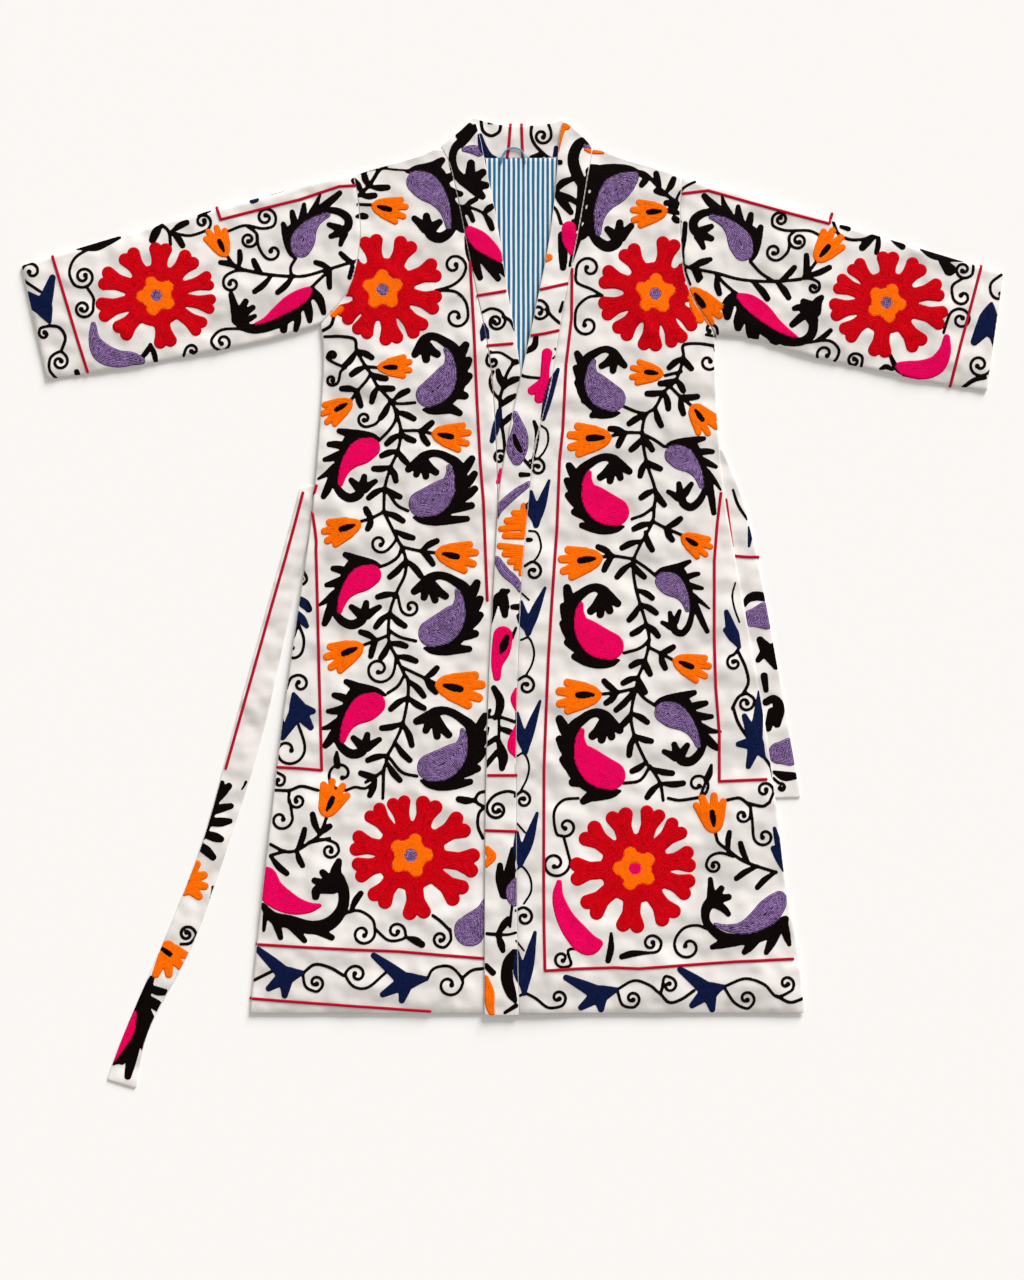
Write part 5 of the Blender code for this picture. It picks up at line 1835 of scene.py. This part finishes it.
BAND_LEFT_MOTIFS = (
    Free(P, (((517, 460, 6), (517, 448, 11), (519, 436, 9), (518, 424, 5), (515, 414, 3)), ((529, 484, 3),
        (515, 494, 4.4), (500, 508, 4.4), (496, 518, 2.6)), ((497, 560, 4), (505, 572, 5), (515, 581, 4.6),
        (521, 590, 3))), Layer.MAIN),
    Free(B, (((514, 436, 1.6), (517, 445, 3), (521, 452, 1.6)), ((507, 637, 2.6), (504, 645, 4.2),
        (501, 652, 2.2))), Layer.TOP),
    Free(K, (((547, 354, 5.5), (545, 370, 4.6), (544, 384, 5), (539, 399, 5)), ((542, 384, 5),
        (532, 391, 4.6)), ((503, 636, 10), (501, 650, 9.5), (497, 664, 6), (497, 677, 4)), ((517, 690, 3),
        (514, 699, 3.6), (517, 711, 1.6)), ((517, 725, 2), (512, 745, 5), (516, 756, 2))), Layer.MAIN),
    Free(O, (((524, 506, 3.4), (523, 520, 4), (524, 531, 3)), ((522, 514, 4), (514, 513, 3.2)),
        ((522, 520, 4.5), (507, 521, 3.6)), ((523, 527, 4), (501, 529, 3.2)), ((524, 536, 4),
        (505, 536, 3.4)), ((524, 549, 3.8), (500, 546, 3.4)), ((523, 554, 4.5), (505, 554, 3.6)),
        ((523, 560, 4.5), (510, 562, 3.2)), ((522, 566, 4), (516, 568, 3)), ((523, 560, 3.6),
        (521, 574, 2.6)), ((487, 849, 4), (492, 856, 4.6), (486, 864, 3.4)), ((485, 978, 4),
        (489, 992, 5.6), (490, 1005, 4.6), (492, 1013, 3)), ((549, 258, 3.8), (543, 262, 3),
        (541, 268, 1.6))), Layer.MAIN),
    Free(B, (((536, 338, 3), (534, 347, 3.6), (526, 352, 3)), ((518, 373, 1.6), (525, 377, 1.8),
        (543, 379, 1.6)), ((508, 591, 2.5), (497, 598, 4.2), (492, 612, 4.2), (489, 628, 2)),
        ((503, 592, 4), (504, 604, 5.4), (505, 615, 3.4)), ((513, 607, 3), (520, 607, 3.6)),
        ((516, 628, 1.6), (512, 638, 2)), ((494, 688, 3.2), (500, 700, 4.6), (499, 711, 4.2),
        (495, 718, 2.4)), ((488, 717, 1.8), (500, 717, 1.8), (516, 722, 2)), ((499, 720, 1.6),
        (499, 742, 1.8)), ((500, 728, 2.4), (508, 731, 3.4), (513, 733, 2.8)), ((499, 742, 3),
        (503, 756, 5.4), (502, 768, 3.2)), ((484, 746, 2.6), (496, 738, 3)), ((485, 766, 3), (497, 752, 3)),
        ((486, 716, 3.4), (490, 710, 2)), ((485, 733, 4), (488, 728, 2)), ((513, 849, 3), (511, 862, 4.6),
        (509, 878, 6.4), (507, 893, 5)), ((500, 865, 3.2), (500, 878, 4.8), (505, 893, 6)), ((487, 933, 2),
        (498, 934, 2), (508, 934, 1.6), (516, 932, 1.6)), ((512, 905, 1.6), (510, 926, 1.6)),
        ((498, 933, 2.4), (504, 924, 4), (508, 918, 2.6)), ((498, 935, 2.4), (501, 943, 4),
        (503, 950, 2.8)), ((486, 965, 3), (493, 972, 3.4)), ((514, 951, 3), (508, 962, 5.4),
        (507, 978, 6.4), (511, 992, 5.4), (515, 1000, 2.6)), ((516, 1005, 2.6), (505, 1012, 2)),
        ((516, 763, 1.2), (516, 774, 1.2)))),
    Free(P, (((516, 880, 3), (512, 889, 5.6), (512, 898, 5), (515, 903, 3)),), Layer.HEART),
    Curl(((517, 793), (507, 791), (495, 795), (488, 803)), (497, 809), 1, 1.5, 1.8),
    Stem(((555, 349), (557, 354), (553, 359)), 1.2),
)

YOKE_LEFT_MOTIFS = (
    Free(B, (((590, 147, 3), (584, 142, 4.6), (577, 147, 5.6), (573, 160, 6), (577, 175, 6), (584, 188, 5)),
        ((583, 188, 6), (581, 206, 5), (577, 228, 4)), ((586, 186, 5), (592, 176, 5), (602, 172, 5)),
        ((590, 172, 5), (610, 169, 5), (630, 170, 4), (646, 178, 2)), ((578, 240, 3.4), (574, 252, 3),
        (570, 266, 2)), ((562, 236, 4.4), (563, 254, 5), (563, 268, 3.6)), ((554, 193, 2.4), (562, 184, 4),
        (571, 180, 3)), ((555, 194, 2.4), (563, 203, 4.6), (571, 213, 3)), ((556, 193, 2.4),
        (570, 199, 3.4), (582, 207, 2)), ((552, 206, 1.6), (557, 212, 1.8), (561, 224, 2)), ((558, 163, 3),
        (560, 163, 3)))), Free(K, (((569, 229, 7.4), (569, 240, 6.8), (571, 253, 2.6)),), Layer.MAIN),
    Free(O, (((556, 122, 2), (562, 126, 4), (567, 127, 3.6)), ((562, 128, 4), (560, 140, 2.2),
        (558, 153, 1.2)), ((585, 150, 1.4), (592, 152, 2.4), (603, 153, 1.6))), Layer.MAIN),
    Free(P, (((585, 147, 2), (591, 147, 2.6)),), Layer.MAIN),
    Free(N, (((556, 148, 2.4), (555, 158, 2.6)),), Layer.MAIN),
    Paisley((622, 187), (599, 237), P, 1, (579, 238), (593, 167.5), (631, 226.5), 0.9),
    Tulip((667, 211), (632, 216)), Free(P, (((620, 187, 11), (630, 180, 8), (636, 175, 2.6)),), Layer.MAIN),
    Stem(((636, 172), (645, 174), (656, 185), (666, 195), (678, 204)), 2.0),
    *sprigs((660, 186, 656, 174), (666, 193, 673.5, 179.5), (667, 196, 656, 191.5),
        (649, 178, 641.5, 185.5), (677, 206, 666, 203.5), (679, 214, 669, 211), (680, 222, 674, 219)),
    Stem(((677, 208), (677, 198), (684, 188), (695, 182)), 1.6),
    *curls((-1, 589, 269, 602, 296, 592, 290, 577, 283, 576, 272),
        (1, 587, 325, 602, 296, 588, 298, 577, 308, 575, 320)),
    Stem(((682, 240), (683, 255), (684, 268), (690, 285)), 1.4),
    Free(B, (((685, 224, 2.6), (684, 238, 2.8), (683, 250, 1.6)),)), Tulip((690, 289), (716, 320), 0.9),
    Curl(((706, 335), (716, 336)), (710, 330), 1, 0.8), Stem(((679, 286), (690, 298)), 1.6),
)

BAND_RIGHT_MOTIFS = (
    Free(B, (((466, 123, 4.6), (468, 132, 6.4), (463, 141, 5.4), (455.5, 148, 4.4), (452.5, 158, 4.2),
        (454.5, 170, 4.4), (461, 179, 5.4), (470, 184, 7.2), (477, 192, 5.4), (482.5, 197, 3.6)),
        ((466, 134, 5), (459, 136, 3.8)), ((471, 132, 5), (476, 128, 4)), ((470, 180, 6), (471, 164, 4.2)),
        ((474, 180, 6), (483, 173, 4)), ((476, 186, 6), (486, 186, 3.8)), ((462, 215, 2.6), (466, 230, 4)),
        ((468, 238, 4), (472, 255, 6), (480, 278, 3.4)), ((478, 252, 5), (488, 265, 5), (498, 279, 3.4)),
        ((490, 258, 4), (500, 268, 4.4), (505, 276, 2)), ((504, 387, 3), (500, 379, 3.8), (498, 371, 2.6)),
        ((505, 386, 2.4), (512, 381, 3.8), (518, 379, 3)), ((502, 405, 2.4), (508, 400, 3.6),
        (515, 396, 2.6)), ((502, 425, 2.4), (508, 419, 3.4), (512, 415, 2.4)), ((506, 468, 2.4),
        (507, 480, 4.6), (512, 488, 3)), ((507, 480, 5), (514, 470, 3.4)), ((514, 363, 3),
        (522, 361, 2.6)))),
    Stem(((515, 361), (507, 374), (503, 388), (500, 400), (501, 420), (504, 440), (506, 468)), 1.9),
    *stems((493, 372, 490, 382, 493, 392, 500, 400)),
    Stem(((490, 353), (500, 353), (509, 358), (516, 363)), 1.6),
    Curl(((490, 352), (487, 358)), (493, 362), 1, 1.0), Curl(((506, 452), (499, 451)), (500, 458), 1, 0.9),
    Free(P, (((464, 150, 2.6), (472, 150, 4.6), (479, 152, 5.4)),), Layer.MAIN),
    Free(N, (((480, 136, 2.6), (483, 148, 4.4), (489, 156, 3.6), (496, 158, 1.4)), ((499, 411, 2.4),
        (496, 428, 4), (492, 441, 2.6))), Layer.MAIN),
    Stem(((448, 206), (465, 207), (476, 210), (484, 214)), 1.7),
    Sprig((465, 207), ((476, 200), (473, 221)), 3.0), Sprig((484, 214), ((492, 207), (492, 229)), 3.6),
    Free(K, (((470, 232, 5.6), (480, 241, 9.4), (492, 251, 7.4), (500, 259, 4)), ((501, 470, 2),
        (498, 482, 2.4))), Layer.MAIN),
    Curl(((482, 313), (491, 309), (501, 312), (505, 320)), (496, 322), -1, 1.5),
    *stems((503, 317, 510, 321, 515, 330)), Lily((484, 325), ((482, 340), (488, 338)), wide=2.8),
)

COLLAR_MOTIFS = (
    *stems((481, 120, 483, 131, 491, 136, 499, 132, 501, 124)), Stem(((489, 123), (492, 123)), 1.8),
    *stems((532, 124, 531, 135, 535, 145, 545, 155, 551, 159)),
    Curl(((548, 123), (551, 132)), (542, 136), -1, 1.2),
    Free(B, (((532, 158, 3), (541, 155, 3.4)), ((558, 163, 3), (560, 163, 3)))),
    Free(N, (((556, 148, 2.4), (555, 158, 2.6)), ((480, 136, 2.6), (483, 148, 4.4), (489, 156, 3.6),
        (496, 158, 1.4))), Layer.MAIN),
)

BELT_RIGHT_MOTIFS = (
    Free(B, (((222, 783, 3), (212, 806, 6), (206, 826, 5), (200, 842, 3)), ((210, 805, 4), (220, 795, 5),
        (229, 786, 3.6)), ((210, 812, 4), (222, 808, 4.4), (231, 806, 3.2)), ((208, 822, 4), (220, 822, 5),
        (230, 821, 3)), ((205, 834, 4), (215, 837, 5), (221, 839, 3.6)), ((198, 845, 4), (206, 850, 5),
        (213, 857, 3.8)), ((152, 978, 3), (143, 1000, 7), (136, 1028, 9), (125, 1053, 7), (112, 1064, 2)),
        ((150, 988, 4), (158, 991, 4.6), (165, 992, 3.6)), ((145, 998, 5), (158, 1006, 5.6),
        (166, 1014, 3.2)), ((146, 1012, 6), (152, 1026, 6.4), (157, 1036, 4)), ((142, 1030, 5),
        (146, 1046, 5.4), (147, 1056, 3.8)), ((135, 1045, 6), (131, 1062, 5.4), (128, 1076, 3.8)),
        ((125, 1050, 5), (122, 1062, 3)))),
    Free(O, (((189, 879, 9), (190, 884, 9)), ((190, 875, 6), (197, 864, 4.2)), ((192, 878, 6),
        (204, 875, 4.2)), ((192, 884, 6), (205, 886, 4)), ((190, 888, 6), (199, 896, 4.2)), ((184, 893, 3),
        (190, 890, 5)), ((168, 948, 8), (170, 954, 9)), ((175, 950, 6), (188, 956, 3.8)), ((174, 958, 6),
        (183, 968, 4)), ((168, 960, 6), (169, 974, 4)), ((164, 956, 6), (156, 974, 4))), Layer.MAIN, 0.8),
    Free(B, (((185, 883, 2.4), (188, 880, 2)), ((163, 949, 2.2), (170, 954, 2.8))), Layer.TOP),
    Curl(((181, 944), (190, 943), (196, 936)), (187, 934), 1, 1.3, 1.8),
    Free(K, (((135, 1012, 2), (129, 1030, 6), (121, 1045, 5), (114, 1060, 2)),), Layer.MAIN),
    Sprig((213, 887), ((210, 899),), 1.3), Sprig((177, 989), ((173, 998),), 1.5),
    Sprig((148, 1061), ((141, 1075),), 1.6), Sprig((246, 782), ((242, 789),), 1.3),
)

BELT_LEFT_MOTIFS = (
    Free(P, (((752, 618, 9), (764, 616, 14)), ((779, 753, 11), (788, 752, 14))), Layer.MAIN),
    Free(B, (((744, 606, 2), (748, 599, 4), (756, 596, 5), (770, 598, 4)), ((760, 640, 4), (768, 652, 7),
        (776, 666, 4)), ((766, 650, 5), (758, 660, 3)), ((770, 650, 5), (778, 642, 3)), ((764, 676, 4),
        (766, 690, 3)), ((766, 702, 4), (774, 699, 4.4), (779, 708, 6), (777, 724, 4)), ((772, 712, 5),
        (768, 728, 4)), ((774, 772, 2), (784, 776, 5), (794, 776, 4)), ((733, 490, 1.5), (738, 505, 1.8),
        (747, 519, 1.5)))), Curl(((773, 778), (779, 783)), (781, 788), -1, 0.8),
    Free(N, (((749, 527, 1.4), (750, 536, 2.6), (749, 546, 1.6)),)),
)

FRONT_RIGHT_LINES = (
    ((470, 259), (474, 330), (477, 400), (480.4, 464), (483.6, 502), (485, 540), (487.4, 600)),
    ((316.7, 486), (313, 499), (312.5, 512), (315, 527), (316.7, 541), (316.4, 550), (318, 610),
        (319.6, 677.5), (322, 770), (300, 768), (278, 767)),
    ((257, 944), (330, 948), (400, 951), (484, 958)), ((251, 998), (330, 1004), (430, 1011)),
)
FRONT_LEFT_LINES = (
    ((572, 270), (571.5, 319), (566, 365), (562.8, 430), (559.5, 461), (557, 527.5), (552, 600),
        (548.4, 658), (546, 715), (544, 769), (543.7, 876), (544, 925), (545, 970), (580, 968),
        (614.5, 967), (639, 968), (735, 961), (792.4, 958.5)),
    ((720.6, 493.5), (717, 523), (714, 561), (714, 640), (715.4, 687), (719, 734), (719, 781), (742, 780),
        (765.6, 779)),
)
SLEEVE_RIGHT_LINES = (
    ((53, 257), (64, 293), (76, 333), (88, 372)),
    ((217, 208), (221, 220), (260, 210), (300, 200), (339.5, 186.8), (355, 186)),
)
SLEEVE_LEFT_LINES = (
    ((981, 266.5), (971, 304), (960, 345), (950, 386)),
    ((683, 194), (708, 191), (750, 203), (790, 214), (829, 224), (832, 214)),
)
BAND_LEFT_LINES = (
    ((541, 290), (554, 287), (567, 284)), ((532, 336), (545, 334), (558, 331)), ((486, 775), (516, 775)),
    ((486, 830), (516, 831)),
)
BAND_RIGHT_LINES = (((478, 296), (508, 291)), ((488, 346), (512, 344)))
COLLAR_LINES = (((510.5, 125), (508.8, 147), (507.2, 158)), ((521.5, 125), (522.4, 149), (522.6, 157)))
BELT_RIGHT_LINES = (((303, 493), (296, 520), (285, 560), (272, 605), (258, 655), (243, 708), (226, 768)),)
BELT_LEFT_LINES = (((726, 500), (732, 546)), ((735, 556), (748, 557), (758, 557)))


@dataclass
class Coat:
    """The whole coat: its cut pieces, its thread work and its stitches."""

    border_rise: float = 0.4 * MM
    crimson: Colour = linear(186, 6, 44)
    loop_blue: Colour = linear(96, 158, 184)

    LOOP_JOIN_ANGLE = 40
    LOOP_LEVELS = 2

    def pieces(self) -> list[ClothPiece]:
        """Lists the cut pieces with their finish and their motifs."""
        cotton = CottonFinish().build()
        lining = LiningFinish().build()
        still = Drape.STILL
        upper = Drape.UPPER
        right_side = FRONT_RIGHT_MOTIFS + BAND_RIGHT_MOTIFS + SLEEVE_RIGHT_MOTIFS
        left_side = FRONT_LEFT_MOTIFS + YOKE_LEFT_MOTIFS + LAP_MOTIFS + SLEEVE_LEFT_MOTIFS
        back = ("back",)
        return [
            ClothPiece("back", "cotton", cotton, drape=still),
            ClothPiece("front_right", "cotton", cotton, right_side + FRONT_RIGHT_ROSETTE, FRONT_RIGHT_LINES,
                       ("band_left",), rests_on=back),
            ClothPiece("front_left", "cotton", cotton, left_side + FRONT_LEFT_ROSETTE, FRONT_LEFT_LINES,
                       rests_on=back),
            ClothPiece("sleeve_right", "cotton", cotton, right_side, SLEEVE_RIGHT_LINES, drape=upper),
            ClothPiece("sleeve_left", "cotton", cotton, left_side, SLEEVE_LEFT_LINES, drape=upper),
            ClothPiece("band_right", "cotton", cotton, right_side, BAND_RIGHT_LINES,
                       ("band_left", "front_left"), levels=3, rests_on=back, strip=True),
            ClothPiece("band_left", "cotton", cotton, BAND_LEFT_MOTIFS + LAP_MOTIFS + YOKE_LEFT_MOTIFS,
                       BAND_LEFT_LINES, levels=3, rests_on=("band_right", "back"), strip=True),
            ClothPiece("collar_back", "cotton", cotton, COLLAR_MOTIFS, COLLAR_LINES, drape=still, levels=3,
                       strip=True),
            ClothPiece("lining_back", "striped_lining", lining, drape=still, rests_on=back),
            ClothPiece("belt_right", "cotton", cotton, BELT_RIGHT_MOTIFS, BELT_RIGHT_LINES, drape=still,
                       levels=3, strip=True),
            ClothPiece("belt_left", "cotton", cotton, BELT_LEFT_MOTIFS, BELT_LEFT_LINES, ("front_left",),
                       still, 3, strip=True),
        ]

    def build(self) -> None:
        thread = EmbroideryFinish().build()
        crimson = LineFinish("crimson_thread", self.crimson).build()
        tree = StitchTree()
        for piece in self.pieces():
            shell = piece.build_shell()
            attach(shell, BODY)
            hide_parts(piece.node)
            extras = []
            thread_work = piece.embroider(thread)
            if thread_work is not None:
                extras.append(thread_work)
            if piece.lines:
                paths = [follow(piece, line, self.border_rise) for line in piece.lines]
                extras.append(tree.sew(piece.node + "_border", paths, CHAIN, crimson))
            for extra in extras:
                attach(extra, BODY)
            self.declare(piece)
            LOG.info("%s: %d faces, %s", piece.node, len(shell.data.polygons),
                     ", ".join(f"{extra.name} {len(extra.data.polygons)}" for extra in extras))
        self.build_loop()

    def declare(self, piece: ClothPiece) -> None:
        """Measures a shell's plan area and its length or flat size, and keeps none of them."""
        low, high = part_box(piece.node)
        layers = 2.0 if piece.drape is Drape.UPPER else 1.0
        area = plan_area(SHAPES[piece.node]) * layers
        if piece.strip:
            length = math.hypot(high[0] - low[0], high[1] - low[1])
            area / length
            return
        flat = (high[0] - low[0], (high[1] - low[1]) * layers)

    def build_loop(self) -> None:
        """Builds the thin loop that hangs the coat up, as a twisted cord."""
        loop = finer_copy("hanger_loop", "hanger_loop_cord", self.LOOP_JOIN_ANGLE, self.LOOP_LEVELS)
        loop.data.shade_smooth()
        loop.data.materials.clear()
        loop.data.materials.append(LineFinish("loop_thread", self.loop_blue).build())
        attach(loop, BODY)
        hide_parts("hanger_loop")


def plan_area(edges: np.ndarray) -> float:
    """Measures the area inside an outline, from edges in any order.

    Args:
        edges: The outline's edges on the chart.

    Returns:
        Square metres.
    """
    low = edges.reshape(-1, 2).min(axis=0) - 1
    high = edges.reshape(-1, 2).max(axis=0) + 1
    canvas = Canvas(low[0], low[1], high[0], high[1])
    return float((signed_distance(canvas, edges) < 0.0).sum()) * CHART_STEP ** 2


@dataclass
class Studio:
    """The floor, the lights and the camera."""

    lens: float = 85.0
    sensor: float = 36.0
    floor_side: float = 9.0
    floor_drop: float = 0.4 * MM
    far: float = 50.0
    key_from: tuple[float, float, float] = (0.45, 1.0, 0.41)
    key_spread: float = 26.0
    key_power: float = 4.95
    surround: Colour = (1.0, 0.965, 0.93, 1.0)
    surround_power: float = 0.47

    def build(self) -> None:
        """Builds the studio round the coat."""
        bpy.context.scene.view_settings.view_transform = "Standard"
        self.build_floor()
        self.build_world()
        centre_x, centre_y = plan(PHOTO_WIDTH / 2, PHOTO_HEIGHT / 2)
        camera = bpy.data.cameras.new("camera")
        camera.lens = self.lens
        camera.sensor_width = self.sensor
        camera.sensor_fit = "AUTO"
        camera.clip_end = self.far
        height = PHOTO_HEIGHT * CHART_STEP * self.lens / self.sensor
        seat = bpy.data.objects.new("camera", camera)
        seat.location = (centre_x, centre_y, height)
        bpy.context.collection.objects.link(seat)
        bpy.context.scene.camera = seat
        self.sun("key", self.key_from, self.key_spread, self.key_power)

    def sun(self, name: str, towards: tuple[float, float, float], spread: float, power: float) -> None:
        """Adds an even light from a wide part of the sky.

        Args:
            name: The light's name.
            towards: The direction from the coat to the light.
            spread: How wide the light looks, in degrees.
            power: Its strength.
        """
        lamp = bpy.data.lights.new(name, "SUN")
        lamp.angle = math.radians(spread)
        lamp.energy = power
        holder = bpy.data.objects.new(name, lamp)
        holder.location = towards
        holder.rotation_euler = Vector(towards).to_track_quat("Z", "Y").to_euler()
        bpy.context.collection.objects.link(holder)

    def build_world(self) -> None:
        """Sets an even white surround."""
        world = bpy.data.worlds.new("studio")
        world.use_nodes = True
        background = world.node_tree.nodes["Background"]
        background.inputs[0].default_value = self.surround
        background.inputs[1].default_value = self.surround_power
        bpy.context.scene.world = world

    def build_floor(self) -> None:
        """Builds the floor just under the coat."""
        half = self.floor_side / 2
        corners = [(x, y, -self.floor_drop) for x, y in
                   ((-half, -half), (half, -half), (half, half), (-half, half))]
        mesh = bpy.data.meshes.new("floor")
        mesh.from_pydata(corners, [], [(0, 1, 2, 3)])
        mesh.materials.append(FloorFinish().build())
        floor = bpy.data.objects.new("floor", mesh)
        bpy.context.collection.objects.link(floor)


def main() -> None:
    """Builds the studio and the coat."""
    logging.basicConfig(level=logging.INFO, format="%(message)s")
    Studio().build()
    Coat().build()


if __name__ == "__main__":
    main()
